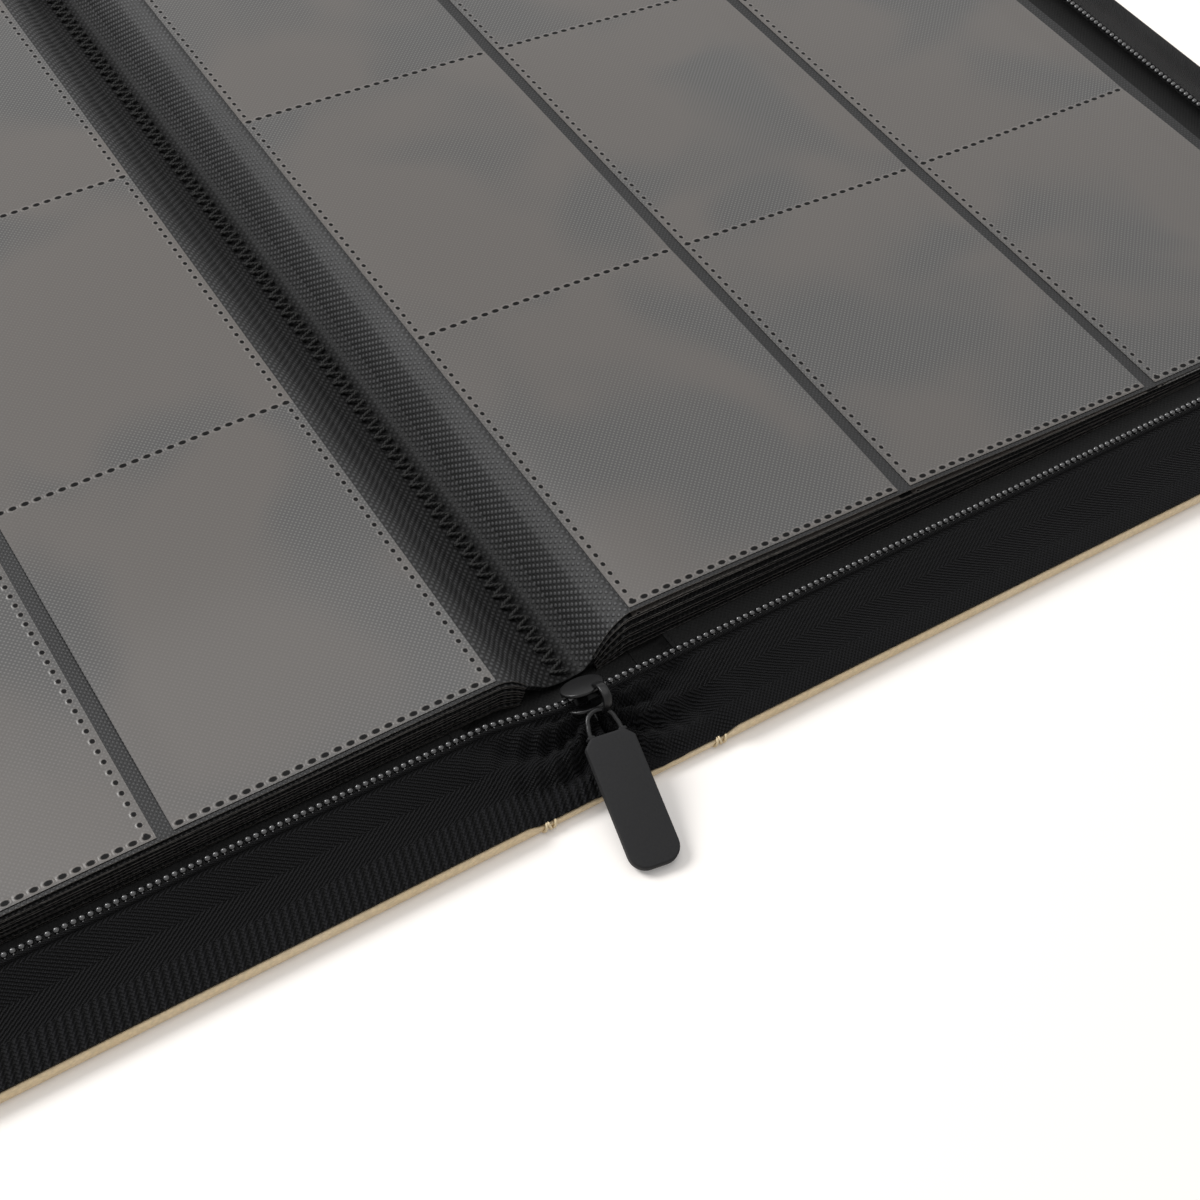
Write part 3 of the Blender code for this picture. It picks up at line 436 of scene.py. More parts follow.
def zipTapeMaterial(name, barred):
    # polyester zip tape, woven: herringbone beside the coil, bars or plain weave at the sewn edge,
    # matt and nearly black, with faint glints on the threads
    material, tree, shader = startMaterial(name, Roughness=0.6, Specular_IOR_Level=0.08, Sheen_Weight=0.02,
                                           Sheen_Roughness=0.35)
    flat = addNode(tree, "UVMap", uv_map="flat")     # u runs along the tape, v out to its coil at 20
    across = addNode(tree, "SeparateXYZ", [flat])
    u, v = across.outputs[0], across.outputs[1]

    def wave(value, pitch):
        phase = addNode(tree, "Math", [value, 2 * math.pi / pitch], operation="MULTIPLY")
        return addNode(tree, "Math", [phase], operation="SINE")

    zig = addNode(tree, "Math", [v, tape["barZone"]], operation="SUBTRACT")
    zig = addNode(tree, "Math", [zig, tape["herringArm"]], operation="PINGPONG")
    slant = addNode(tree, "Math", [zig, 1.7, u], operation="MULTIPLY_ADD")
    herring = wave(slant, tape["herringPitch"])
    threads, plain = (addNode(tree, "Math", [wave(u, tape[pitch]), wave(v, tape[pitch])], operation="MULTIPLY")
                      for pitch in ("threadPitch", "weavePitch"))
    herring = addNode(tree, "Math", [threads, 0.6, herring], operation="MULTIPLY_ADD")
    if barred:
        lean = addNode(tree, "Math", [v, 0.25, u], operation="MULTIPLY_ADD")
        plain = addNode(tree, "Math", [plain, 0.7, wave(lean, tape["barPitch"])], operation="MULTIPLY_ADD")
    zone = addNode(tree, "MapRange", {"Value": v, "From Min": tape["barZone"] - tape["barSoft"],
                                      "From Max": tape["barZone"] + tape["barSoft"]},
                   interpolation_type="SMOOTHSTEP")
    weave = addNode(tree, "Mix", {0: zone, 2: plain, 3: herring})
    lit = addNode(tree, "MapRange", {"Value": weave.outputs[0], "From Min": -0.9, "From Max": 1.5})
    tintAndRelief(tree, shader, lit, tape["dark"], tape["light"], weave.outputs[0], tape["relief"], 0.8)
    return material


def leatherclothMaterial():
    # polyurethane leathercloth, calendered and grained: warm beige, a soft satin with fine pebbling
    material, tree, shader = startMaterial("polyurethaneLeatherclothGrained", Roughness=0.55)
    place = addNode(tree, "TexCoord").outputs["Object"]
    grain = addNode(tree, "TexVoronoi", {"Vector": place, "Scale": 1 / (0.9 * mm), "Randomness": 1.0})
    broad = addNode(tree, "TexNoise", {"Vector": place, "Scale": 1 / (22 * mm), "Detail": 4.0})
    colour = addNode(tree, "Mix", {0: broad, 6: hexToLinear("#e8cea1"), 7: hexToLinear("#f6e3c3")},
                     data_type="RGBA")
    creases = addNode(tree, "MapRange", {"Value": grain.outputs["Distance"], "From Min": 0.2, "From Max": 0.8,
                                         "To Min": 1.0, "To Max": 0.86})
    colour = addNode(tree, "VectorMath", [colour.outputs[2], creases], operation="MULTIPLY")
    bump = addNode(tree, "Bump", {"Height": grain.outputs["Distance"], "Distance": 0.08 * mm, "Strength": 0.6},
                   invert=True)
    setInputs(tree, shader, {"Base Color": colour, "Normal": bump})
    return material


def wovenMaterial(name, dark, light, pitch, roughness):
    # plain woven polyester: tiny over-and-under threads, matt
    material, tree, shader = startMaterial(name, Roughness=roughness)
    place = addNode(tree, "TexCoord").outputs["Object"]
    parts = addNode(tree, "SeparateXYZ", [place])
    waves = []
    for axis in (0, 1):
        phase = addNode(tree, "Math", [parts.outputs[axis], math.pi / (pitch * mm)], operation="MULTIPLY")
        waves.append(addNode(tree, "Math", [phase], operation="SINE"))
    weave = addNode(tree, "Math", [waves[0], waves[1]], operation="MULTIPLY")
    lit = addNode(tree, "MapRange", {"Value": weave, "From Min": -1.0})
    tintAndRelief(tree, shader, lit, dark, light, weave, 0.06, 0.7)
    return material


def speckledMaterial(name, dark, light, size, depth, **sockets):
    # a plain colour with the fine unevenness of its making
    material, tree, shader = startMaterial(name, **sockets)
    place = addNode(tree, "TexCoord").outputs["Object"]
    speck = addNode(tree, "TexNoise", {"Vector": place, "Scale": 1 / (size * mm), "Detail": 5.0, "Roughness": 0.6})
    shade = addNode(tree, "MapRange", {"Value": speck, "From Min": 0.3, "From Max": 0.7})
    tintAndRelief(tree, shader, shade, dark, light, speck, depth, 0.5)
    return material


leafSheet = embossedSheetMaterial("polypropyleneSheetEmbossed", "#0c0c0c", "#262627", 0.85, 0.06, 0.5)
marginSheet = embossedSheetMaterial("polypropyleneSheetCoarseEmbossed", "#040404", "#3a3a3b", 1.3, 0.16, 0.58,
                                    (1.5, 10))
pocketFilm = pocketFilmMaterial()
zipTape = {"left": zipTapeMaterial("polyesterTapeWovenBarred", True),
           "right": zipTapeMaterial("polyesterTapeWovenPlain", False)}
# polypropylene sheet, guillotined: its cut edges are painted pale, a painted highlight for the fine light line
# along each edge
cutEdge = speckledMaterial("polypropyleneSheetCut", "#3b3937", "#8d8985", 1.2, 0.01, Roughness=0.6,
                           Specular_IOR_Level=0.2)
leathercloth = leatherclothMaterial()
lining = wovenMaterial("polyesterLiningWoven", "#040404", "#101010", 0.6, 0.85)
# nylon monofilament, extruded and coiled: glossy black beads
coilNylon = speckledMaterial("nylonCoilExtruded", "#0f0f10", "#1c1c1d", 0.6, 0.01, Roughness=0.24, IOR=1.75)
# zinc, die-cast and stoved black: a smooth soft gleam
paintedZinc = speckledMaterial("zincDieCastPainted", "#0a0a0a", "#111112", 0.8, 0.01, Roughness=0.3,
                               Specular_IOR_Level=0.28)
# soft-touch rubber over a moulded tab: even dark grey, no highlight
mouldedRubber = speckledMaterial("rubberMouldedSoftTouch", "#1d1d1e", "#232324", 0.5, 0.02, Roughness=0.75,
                                 Specular_IOR_Level=0.25)
# polyester sewing thread, spun and plied: fuzzy black strands
sewingThread = speckledMaterial("polyesterThreadSpun", "#101010", "#2a2a29", 0.35, 0.05, Roughness=0.75,
                                Specular_IOR_Level=0.2)
# grey board, pressed: flecked and dull
greyBoard = speckledMaterial("greyBoardPressed", "#6b655c", "#857e73", 1.5, 0.05, Roughness=0.9)
# cream sewing thread at the hinges
creamThread = speckledMaterial("cottonThreadCream", "#d9c39b", "#eadab9", 0.4, 0.04, Roughness=0.6)
print("materials ready")


# Leaves: the same curves as the frame's sheets, rounded off

pages = {
    "foreEdge": 248.0, "gutterMargin": 16.2, "halfPage": 143.0,
    "leafCount": 10, "leafThick": 0.28, "filmThick": 0.12, "filmLift": 0.19,
    "floor": 4.0, "foldFloor": 1.95, "valley": 4.0,
    "leftHeight": 13.0, "rightCrest": 17.0, "rightFore": 8.6,
    "root": {"left": (9.4, 8.0), "right": (6.8, 6.9)}, "rootSpread": 1.8,
    "edgeWave": 0.14, "edgeFade": 22, "bendStart": 8.6, "bendEnd": 13,
}
sides = {"left": -1, "right": 1}
covers = {"left": "front_cover", "right": "back_cover"}


def stackCurve(side, share):
    crease, fore, base = pages["gutterMargin"], pages["foreEdge"], pages["floor"]
    rootX, rootZ = pages["root"][side]
    reach = crease - rootX
    stations = [crease * (1 - f) + fore * f for f in (0.1, 0.33, 0.66)]
    low = [(rootX + pages["rootSpread"], pages["foldFloor"])]
    low += [(rootX + reach * f, pages["foldFloor"] + up) for f, up in ((0.38, 0.3), (0.72, 1.1))]
    low += [(crease, base - 0.1)] + [(x, base) for x in stations + [fore]]
    if side == "right":
        crest, end = pages["rightCrest"], pages["rightFore"]
        steps, falls = ((0, 0), (0.2, 0.33), (0.5, 0.74)), (0.08, 0.36, 0.84)
        tail = [(crease, crest)] + [(x, crest - f * (crest - end)) for x, f in zip(stations, falls)] + [(fore, end)]
    else:
        crest = pages["leftHeight"]
        steps, sag = ((0, 0), (0.24, 0.36), (0.51, 0.72)), (-0.1, 0.1, 0.0, -0.2, -0.6)
        tail = [(x, crest + f) for x, f in zip([crease] + stations + [fore], sag)]
    high = [(rootX + reach * f, rootZ + (crest - rootZ) * up) for f, up in steps] + tail
    return [(a[0] + share * (b[0] - a[0]), a[1] + share * (b[1] - a[1])) for a, b in zip(low, high)]


def leafHeight(side, index, x):
    return smoothCurve(stackCurve(side, index / (pages["leafCount"] - 1)), x)


def leafColumns(start, end, count=64):
    # closer together near the fold, where the sheet bends most
    share = np.linspace(0, 1, count) ** 1.7
    return start + (end - start) * share


def edgeRipple(index, x, y):
    # the free foot and head edges of a stack never lie quite flat
    near = np.clip(1 - (pages["halfPage"] - np.abs(y)) / pages["edgeFade"], 0, 1) ** 2
    phase = 1.7 * index + 0.6 * np.sin(2.1 * index)
    wave = np.sin(x / 23 + phase) + 0.6 * np.sin(x / 9.5 + 2.3 * phase)
    return pages["edgeWave"] * near * wave * smoothStep(14, 40, x)


def arcLength(x, z):
    return np.concatenate([[0], np.cumsum(np.hypot(np.diff(x), np.diff(z)))])


def faceMiddles(piece):
    middles = np.zeros(len(piece.data.polygons) * 3)
    piece.data.polygons.foreach_get("center", middles)
    return middles.reshape(-1, 3) / mm


def paintRim(piece, columns, rows):
    # the last faces of a sheet are its cut edges: gives every face's material number
    piece.data.materials.append(cutEdge)
    chosen = np.zeros(len(piece.data.polygons), dtype=np.int32)
    chosen[len(chosen) - 2 * (columns + rows - 2):] = 1
    piece.data.polygons.foreach_set("material_index", chosen)
    return chosen


def buildLeaf(side, index, start, end, name, material):
    # gives the leaf, the material number of every face and how many faces one side has
    x = leafColumns(start, end)
    half = pages["halfPage"]
    inset = 0.25 * (1 + math.sin(2.9 * index + (1 if side == "left" else 0)))
    y = np.concatenate([np.linspace(-half + inset, -half + 30, 16)[:-1], np.linspace(-half + 30, half - 30, 20),
                        np.linspace(half - 30, half - inset, 16)[1:]])
    line = leafHeight(side, index, x)
    gx, gy, gz = sheetGrid(x, y, line)
    gz = gz + edgeRipple(index, gx, gy)
    top = stack(sides[side] * gx, gy, gz + pages["leafThick"] / 2)
    arc = arcLength(x, line)
    arc = np.repeat((arc + end - arc[-1])[:, None], len(y), axis=1)
    piece = makeSheet(name, top, pages["leafThick"], material, stack(arc, gy))
    return piece, paintRim(piece, len(x), len(y)), (len(x) - 1) * (len(y) - 1)


def buildLeaves():
    topLeaf = pages["leafCount"] - 1
    for side, sign in sides.items():
        for index in range(pages["leafCount"] - (side == "right")):
            root = stackCurve(side, index / topLeaf)[0][0]
            piece, chosen, faces = buildLeaf(side, index, root - 0.1, pages["foreEdge"],
                                             f"pocketLeaf_{side}_{index + 1:02d}", leafSheet)
            piece.data.materials.append(marginSheet)
            chosen[(np.abs(faceMiddles(piece)[:, 0]) < pages["gutterMargin"]) & (chosen == 0)] = 2
            if side == "right" and index == topLeaf - 1:
                # this leaf comes to view when the one above it turns
                piece.data.materials.append(pocketFilm)
                chosen[:faces][chosen[:faces] == 0] = 3
            piece.data.polygons.foreach_set("material_index", chosen)
            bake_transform(piece)
            finishPiece(piece, None, [f"leaf_{side}_{index + 1:02d}"])
    crease, rootX = pages["gutterMargin"], pages["root"]["right"][0]
    margin = buildLeaf("right", topLeaf, rootX + 0.02, crease, "turningMargin", marginSheet)[0]
    finishPiece(margin, "turning_margin", ["leaf_right_10_margin"])
    leaf, chosen, faces = buildLeaf("right", topLeaf, crease, pages["foreEdge"], "turningLeaf", leafSheet)
    leaf.data.materials.append(pocketFilm)
    chosen[faces:2 * faces] = 2
    leaf.data.polygons.foreach_set("material_index", chosen)
    finishPiece(leaf, "turning_leaf", ["leaf_right_10"])


buildLeaves()
print("leaves laid in their stacks")


# Pocket films: three columns a side, on the uppermost leaf

films = {"bulge": 0.36, "lipLift": 0.3, "lipWidth": 9, "dimple": 0.05}


def buildFilms(side):
    sign = sides[side]
    top = pages["leafCount"] - 1
    width = film["columnPitch"] - film["openingStrip"]
    inset, pitch = film["weldInset"], film["weldPitch"]
    u = np.concatenate([[0.0, 0.55, 1.1], inset + np.arange(0, 49) * (pitch / 2), [width - 0.35, width]])
    u = u[u <= width]
    v = np.arange(-98, 99) * (pitch / 2)
    v = v[np.abs(v) <= pages["halfPage"] - 0.2]
    gu, gv = np.meshgrid(u, v, indexing="ij")
    # each pocket swells a little between its welds and stands open along its free side
    rowShare = (gv + film["rowPitch"] / 2) / film["rowPitch"] % 1
    pillow = np.sin(math.pi * rowShare) ** 0.6 * np.clip((gu - inset) / 12, 0, 1) ** 0.7
    lip = films["lipLift"] * smoothStep(width - films["lipWidth"], width, gu) * pillow
    onWeld = np.isclose(gu, inset) & (np.abs(gv / pitch - np.round(gv / pitch)) < 0.1)
    for column in range(3):
        x = film["start"] + column * film["columnPitch"] + gu
        z = leafHeight(side, top, np.clip(x, 0, pages["foreEdge"])) + edgeRipple(top, x, gv)
        wave = 0.5 + 0.5 * np.sin(gu / 17 + 1.3 * column + 0.5 * gv / 31) * np.cos(gv / 19 + 2.1 * column + sign)
        bulge = films["bulge"] * pillow * (0.35 + 0.65 * wave)
        z = z + pages["leafThick"] / 2 + pages["filmLift"] + bulge + lip - films["dimple"] * onWeld
        piece = makeSheet(f"pocketFilm_{side}_{column + 1}", stack(sign * x, gv, z),
                          pages["filmThick"], pocketFilm, stack(x, gv))
        paintRim(piece, len(u), len(v))
        body = "left_leaves" if side == "left" else "turning_leaf"
        finishPiece(piece, body, [f"film_{side}_{column + 1}"])


for side in sides:
    buildFilms(side)
print("pocket films welded on")


# The sewn fold and its thread

fold = {"plyRadius": 0.28, "plyOffset": 0.17, "threadWidth": 3.8, "pitch": 3.5, "twist": 2.0,
        "lift": 0.45, "rise": 0.25, "thick": 1.1, "drawnIn": 0.12, "drawnWidth": 1.8}


def buildFold():
    leftX, leftZ = pages["root"]["left"]
    rightX, rightZ = pages["root"]["right"]
    valley = pages["valley"]
    flush = pages["leafThick"] / 2
    profile = [(-leftX + 0.05, leftZ + flush), (-0.78 * leftX, 0.27 * valley + 0.73 * leftZ - 0.3),
               (-0.5 * leftX, 0.75 * valley + 0.25 * leftZ - 0.4), (-2.7, valley + 0.08), (-1.4, valley),
               (1.4, valley), (2.7, valley + 0.05), (0.62 * rightX, 0.9 * valley + 0.1 * rightZ),
               (0.85 * rightX, 0.42 * valley + 0.58 * rightZ), (rightX + 0.06, rightZ + flush + 0.03)]
    x = np.linspace(profile[0][0], profile[-1][0], 48)
    y = np.linspace(-pages["halfPage"], pages["halfPage"], 120)
    line = smoothCurve(profile, x)
    gx, gy, gz = sheetGrid(x, y, line)
    arc = np.repeat(arcLength(x, line)[:, None], len(y), axis=1)
    # drawn in at each stitch
    gz = gz - fold["drawnIn"] * np.exp(-(gx / fold["drawnWidth"]) ** 2) \
        * (1 + np.sin(2 * math.pi * gy / fold["pitch"]))
    piece = makeSheet("sewnFold", stack(gx, gy, gz), fold["thick"], marginSheet, stack(arc, gy))
    finishPiece(piece, "spine", ["sewn_fold"])


def buildFoldThread():
    turns = int((2 * pages["halfPage"] - 2) / fold["pitch"])
    half = fold["threadWidth"] / 2 - fold["plyOffset"]
    s = np.arange(0, 2 * turns, 1 / 14)
    k = np.floor(s).astype(int)
    t = s - k
    ease = t * t * (3 - 2 * t) * 0.45 + t * 0.55
    swing = np.where(k % 2 == 0, 1.0, -1.0)
    x = half * swing * (1 - 2 * ease)
    y = (-turns + k + t) * fold["pitch"] / 2
    z = pages["valley"] + fold["lift"] + fold["rise"] * np.sin(math.pi * t)
    core = stack(x, y, z)
    length = np.concatenate([[0], np.cumsum(np.linalg.norm(np.diff(core, axis=0), axis=1))])
    tangent = unit(np.gradient(core, axis=0))
    side = unit(np.cross(tangent, (0, 0, 1.0)))
    up = np.cross(side, tangent)
    plies = []
    for ply in range(2):
        angle = 2 * math.pi * length / fold["twist"] + ply * math.pi
        off = fold["plyOffset"] * (np.cos(angle)[:, None] * side + np.sin(angle)[:, None] * up)
        plies.append(sweepTube(core + off, fold["plyRadius"], 8))
    piece = makeMesh("foldThread", *joinParts(plies), sewingThread)
    finishPiece(piece, "spine", ["fold_thread"])


buildFold()
buildFoldThread()
print("fold sewn")


# Leathercloth case: one skin a side from the middle of the spine, with a rolled edge

case = {
    "edgeProfile": [(8, 0.72), (1.3, 0.72), (0.9, 0.95), (0.88, 2.0), (0.85, 3.0), (0.72, 3.42), (0.5, 3.58),
                    (0.28, 3.52), (0.1, 3.3), (0.0, 2.9), (-0.03, 2.2), (0.0, 1.3), (0.08, 0.7), (0.3, 0.28),
                    (0.7, 0.06), (1.3, 0.0), (8, 0.0)],
    "spineHeight": 2.3, "hingeHeight": 2.0, "coverHeight": 3.6, "hingeX": 21.5,
    "board": 0.72, "pinch": 0.18, "pinchWidth": 1.4, "liningThick": 0.25,
    "liningProfile": [(17.0, 1.75), (18.6, 1.5), (21.5, 1.05), (24.0, 1.45), (25.6, 2.9), (26.9, 3.72),
                      (28.6, 3.78)],
    "blendStart": 19.5, "clothEnd": 24.0, "zipEnd": 25.0,
}


def blendOverHinge(piece):
    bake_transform(piece)


def edgeHeight(x):
    points = [(-9, case["spineHeight"]), (17, case["spineHeight"]), (20.4, case["hingeHeight"] + 0.1),
              (21.5, case["hingeHeight"]), (22.6, case["hingeHeight"] + 0.15), (26.5, case["coverHeight"]),
              (300, case["coverHeight"])]
    return smoothCurve(points, x)


# Zip: each half runs from the slider round three sides of its cover

zipper = {
    "reach": {"left": 22.6, "right": 19.8}, "height": 9.9, "foreHeight": {"left": 6.0, "right": 9.9},
    "fallStart": 150.0, "fore": 277.0, "halfCover": 172.0, "corner": 28.0, "hingeClear": 23.5,
    "sliderX": -1.0, "edgeInset": 0.4, "edgeHeight": 4.1, "tapeThick": 0.45,
    "toothPitch": 1.75, "bead": (0.77, 0.72, 0.77), "tapeStep": 1.1, "pucker": 4.7, "hingeFree": 7.0,
    "tapeRows": 29, "coilGap": 1.35, "sewnLift": 0.42, "sag": 0.7, "ripple": 0.22, "rippleLength": 7.3,
    "gatherReach": 21, "legRadius": 0.27, "legs": ((0.15, 0.12), (-0.4, 0.8)),
    # the woven band stitched over the coil's legs and the cord on its inner side:
    # place across, height, half width, tallness, sides
    "bands": {"zipCoilBand": (-0.76, 0.08, 0.54, 1.15, 12), "zipCoilCord": (1.08, -0.35, 0.15, 1.0, 6)},
}


def coverCorner():
    fore, half, corner = zipper["fore"], zipper["halfCover"], zipper["corner"]
    return fore, half, corner, fore - corner, half - corner


def zipStations(side, step, headGap=0.0, footGap=0.0):
    # places on the cover's edge line at even steps of the coil, with their inward directions
    fore, half, corner, centreX, centreY = coverCorner()
    reach = zipper["reach"][side]
    footStart = zipper["sliderX"] * sides[side] + footGap
    lengths = [centreX - footStart, (corner - reach) * math.pi / 2, 2 * centreY, (corner - reach) * math.pi / 2,
               centreX - headGap]
    ends = np.cumsum([0] + lengths)
    s = np.linspace(0, ends[-1], int(ends[-1] / step) + 1)
    k = np.clip(np.searchsorted(ends, s, side="right") - 1, 0, 4)
    t = s - ends[k]
    x, y, nx, ny = (np.zeros(len(s)) for _ in range(4))
    for i, sign in ((0, -1), (4, 1)):
        on = k == i
        x[on] = footStart + t[on] if i == 0 else centreX - t[on]
        y[on] = sign * half
        ny[on] = -sign
    on = k == 2
    x[on], y[on], nx[on] = fore, -centreY + t[on], -1
    for i, sign in ((1, -1), (3, 1)):
        on = k == i
        angle = t[on] / (corner - reach) + (-math.pi / 2 if i == 1 else 0)
        nx[on], ny[on] = -np.cos(angle), -np.sin(angle)
        x[on], y[on] = centreX - corner * nx[on], sign * centreY - corner * ny[on]
    free = zipper["hingeFree"]
    share = np.clip((np.abs(x) - free) / (zipper["hingeClear"] - free), 0, 1)
    reaches = zipper["reach"]["right"] + share * (reach - zipper["reach"]["right"])
    fall = smoothStep(zipper["fallStart"], centreX - 0.3, np.abs(x))
    height = zipper["height"] + fall * (zipper["foreHeight"][side] - zipper["height"])
    return {"x": x, "y": y, "nx": nx, "ny": ny, "reach": reaches, "height": height, "s": s}


def coilFrame(side, path):
    # for each station: the coil's middle, the way in across the tape and the way up off it
    slope = np.arctan2(path["height"] - zipper["edgeHeight"], path["reach"] - zipper["edgeInset"])
    sign = sides[side]
    middle = stack(sign * (path["x"] + path["nx"] * path["reach"]),
                       path["y"] + path["ny"] * path["reach"], path["height"])
    inward = stack(sign * path["nx"] * np.cos(slope), path["ny"] * np.cos(slope), np.sin(slope))
    up = stack(-sign * path["nx"] * np.sin(slope), -path["ny"] * np.sin(slope), np.cos(slope))
    return middle, inward, up, unit(np.gradient(middle, axis=0))


def buildTape(side):
    sign, rows = sides[side], zipper["tapeRows"]
    path = zipStations(side, zipper["tapeStep"], 0.2, 0.2)
    share = np.linspace(0, 1, rows)[None, :]
    inner = path["reach"] - zipper["coilGap"]
    depth = zipper["edgeInset"] + share * (inner - zipper["edgeInset"])[:, None]
    x = path["x"][:, None] + path["nx"][:, None] * depth
    y = path["y"][:, None] + path["ny"][:, None] * depth
    rise = (depth - zipper["edgeInset"]) / (path["reach"] - zipper["edgeInset"])[:, None]
    # the sewn edge follows the case down over the spine
    sewn = np.where(np.abs(path["x"]) < 30, edgeHeight(path["x"]) + zipper["sewnLift"], zipper["edgeHeight"])
    sewn = sewn[:, None]
    z = sewn + rise * (path["height"][:, None] - sewn)
    arch = np.sin(math.pi * share)
    z = z - zipper["sag"] * arch ** 2 * smoothStep(5, 30, np.abs(path["x"]))[:, None]
    z = z + zipper["ripple"] * arch * np.sin(path["s"] / zipper["rippleLength"])[:, None]
    # gathers that radiate from the slider, deepest close to it
    outX = x - zipper["sliderX"] * sign
    outY = np.abs(y) - (zipper["halfCover"] - zipper["reach"]["right"])
    away, turn = np.hypot(outX, outY), np.arctan2(outY, outX)
    near = np.where(y < 0, 1.0, 0.35) * np.exp(-(away / zipper["gatherReach"]) ** 2) * smoothStep(3, 8, away)
    waves = np.sin((13 if sign > 0 else 11) * turn + 0.45 * away) + 0.5 * np.sin(23 * turn - 0.8 * away)
    z = z + zipper["pucker"] * near * arch ** 0.5 * (0.5 * waves - 0.4)
    z = np.maximum(z, 1.9 + 2.2 * smoothStep(21, 28, np.abs(x)))
    top = stack(sign * x, y, z + zipper["tapeThick"] / 2)
    uv = stack(np.repeat(path["s"][:, None], rows, 1), depth + (20 - inner)[:, None])
    piece = makeSheet(f"zipTape_{side}", top, zipper["tapeThick"], zipTape[side], uv)
    blendOverHinge(piece)
    names = [f"tape_{side}_{run}" for run in ("foot", "fore", "head")]
    finishPiece(piece, None, names + [f"tape_end_{side}_{end}" for end in ("foot", "head")])


def buildCoil(side):
    middle, inward, up, along = coilFrame(side, zipStations(side, zipper["toothPitch"], 2.4, 3.2))
    ball = bmesh.new()
    bmesh.ops.create_uvsphere(ball, u_segments=12, v_segments=8, radius=1)
    ballPoints = np.array([v.co for v in ball.verts])
    ballFaces = [[v.index for v in face.verts] for face in ball.faces]
    ball.free()
    wide, deep, tall = zipper["bead"]
    parts = []
    for i in range(len(middle)):
        head = middle[i] + 0.5 * inward[i] + 0.15 * up[i]
        basis = np.stack([wide * along[i], deep * inward[i], tall * up[i]])
        parts.append((head + ballPoints @ basis, ballFaces))
        for lift, lean in zipper["legs"]:
            start = middle[i] + 0.3 * inward[i] + lift * up[i] + 0.2 * lean * along[i]
            end = middle[i] - 1.05 * inward[i] + lift * up[i] + lean * along[i]
            parts.append(sweepTube([start, (start + end) / 2 + 0.06 * up[i], end], zipper["legRadius"], 6))
    piece = makeMesh(f"zipCoil_{side}", *joinParts(parts), coilNylon)
    blendOverHinge(piece)
    finishPiece(piece, None, [f"coil_{side}"] + [f"coil_end_{side}_{end}" for end in ("foot", "head")])


def buildBands(side):
    path = zipStations(side, 2.0, 2.2, 3.0)
    middle, inward, up = coilFrame(side, path)[:3]
    for name, (place, height, width, tall, count) in zipper["bands"].items():
        core = middle + place * inward + height * up
        angle = np.arange(count) * 2 * math.pi / count
        ring = core[:, None] + width * np.cos(angle)[None, :, None] * inward[:, None] \
            + width * tall * np.sin(angle)[None, :, None] * up[:, None]
        index = np.arange(ring.shape[0] * count).reshape(-1, count)
        quads = ringQuads(index)
        if side == "left":
            quads = quads[:, ::-1]
        faces = quads.tolist() + [index[0].tolist(), index[-1][::-1].tolist()]
        uv = stack(np.repeat(path["s"][:, None], count, 1), 9 + np.broadcast_to(angle, index.shape))
        band = makeMesh(f"{name}_{side}", ring.reshape(-1, 3), faces, zipTape[side], uv.reshape(-1, 2))
        blendOverHinge(band)


for side in sides:
    buildTape(side)
    buildCoil(side)
    buildBands(side)
print("zip halves laid round the covers")


def buildLeathercloth(side):
    sign, board = sides[side], case["board"]
    fore, half, corner, centreX, centreY = coverCorner()
    footX = np.concatenate([np.linspace(0, 17, 9), np.arange(17.5, 27, 0.5), np.linspace(28, centreX, 50)])
    angles = np.radians(np.linspace(-90, 0, 15))[1:]
    outline = [(x, -half, 0, 1) for x in footX]
    outline += [(centreX + corner * math.cos(a), -centreY + corner * math.sin(a), -math.cos(a), -math.sin(a))
                for a in angles]
    outline += [(fore, y, -1, 0) for y in np.linspace(-centreY, 0, 14)[1:]]
    outline += [(x, -y, nx, -ny) for x, y, nx, ny in outline[-2::-1]]
    outline = np.array(outline)
    profile = np.array(case["edgeProfile"])
    height = edgeHeight(outline[:, 0])
    rise = (height - board) / (case["coverHeight"] - board)
    level = profile[None, :, 1]
    z = np.where(level > board, board + (level - board) * rise[:, None], level)
    pinch = case["pinch"] * np.exp(-((outline[:, 0] - case["hingeX"]) / case["pinchWidth"]) ** 2)
    depth = profile[None, :, 0] + pinch[:, None]
    x = outline[:, 0:1] + outline[:, 2:3] * depth
    y = outline[:, 1:2] + outline[:, 3:4] * depth
    rings = stack(sign * x, y, z)
    count, rim = rings.shape[:2]
    index = np.arange(count * rim).reshape(count, rim)
    quads = gridQuads(index)
    faces = (quads[:, ::-1] if sign > 0 else quads).tolist()
    # the flat underside and the flat inside join each station to its mirror image
    for column, turned in ((0, sign > 0), (rim - 1, sign < 0)):
        for i in range(count // 2 - 1):
            face = [int(index[k, column]) for k in (i, count - 1 - i, count - 2 - i, i + 1)]
            faces.append(face[::-1] if turned else face)
    cap = index[0].tolist() + index[-1][::-1].tolist()
    faces.append(cap if sign > 0 else cap[::-1])
    piece = makeMesh(f"leatherclothCase_{side}", rings.reshape(-1, 3), faces, leathercloth)
    faceOut(piece)
    blendOverHinge(piece)
    finishPiece(piece, None, [covers[side] + "_skin"] + (["spine_skin"] if side == "left" else []))


def buildHingeLining(side):
    # the lining runs on from the spine to the cover, down into the groove between them
    profile = case["liningProfile"]
    x = np.linspace(profile[0][0], profile[-1][0], 30)
    y = np.linspace(-zipper["halfCover"] + 1.15, zipper["halfCover"] - 1.15, 60)
    gx, gy, gz = sheetGrid(x, y, smoothCurve(profile, x))
    gz = gz + 0.05 * np.sin(gy / 6.1) * np.sin(gx)
    piece = makeSheet(f"hingeLining_{side}", stack(sides[side] * gx, gy, gz), case["liningThick"],
                      lining)
    blendOverHinge(piece)
    finishPiece(piece, None, ())


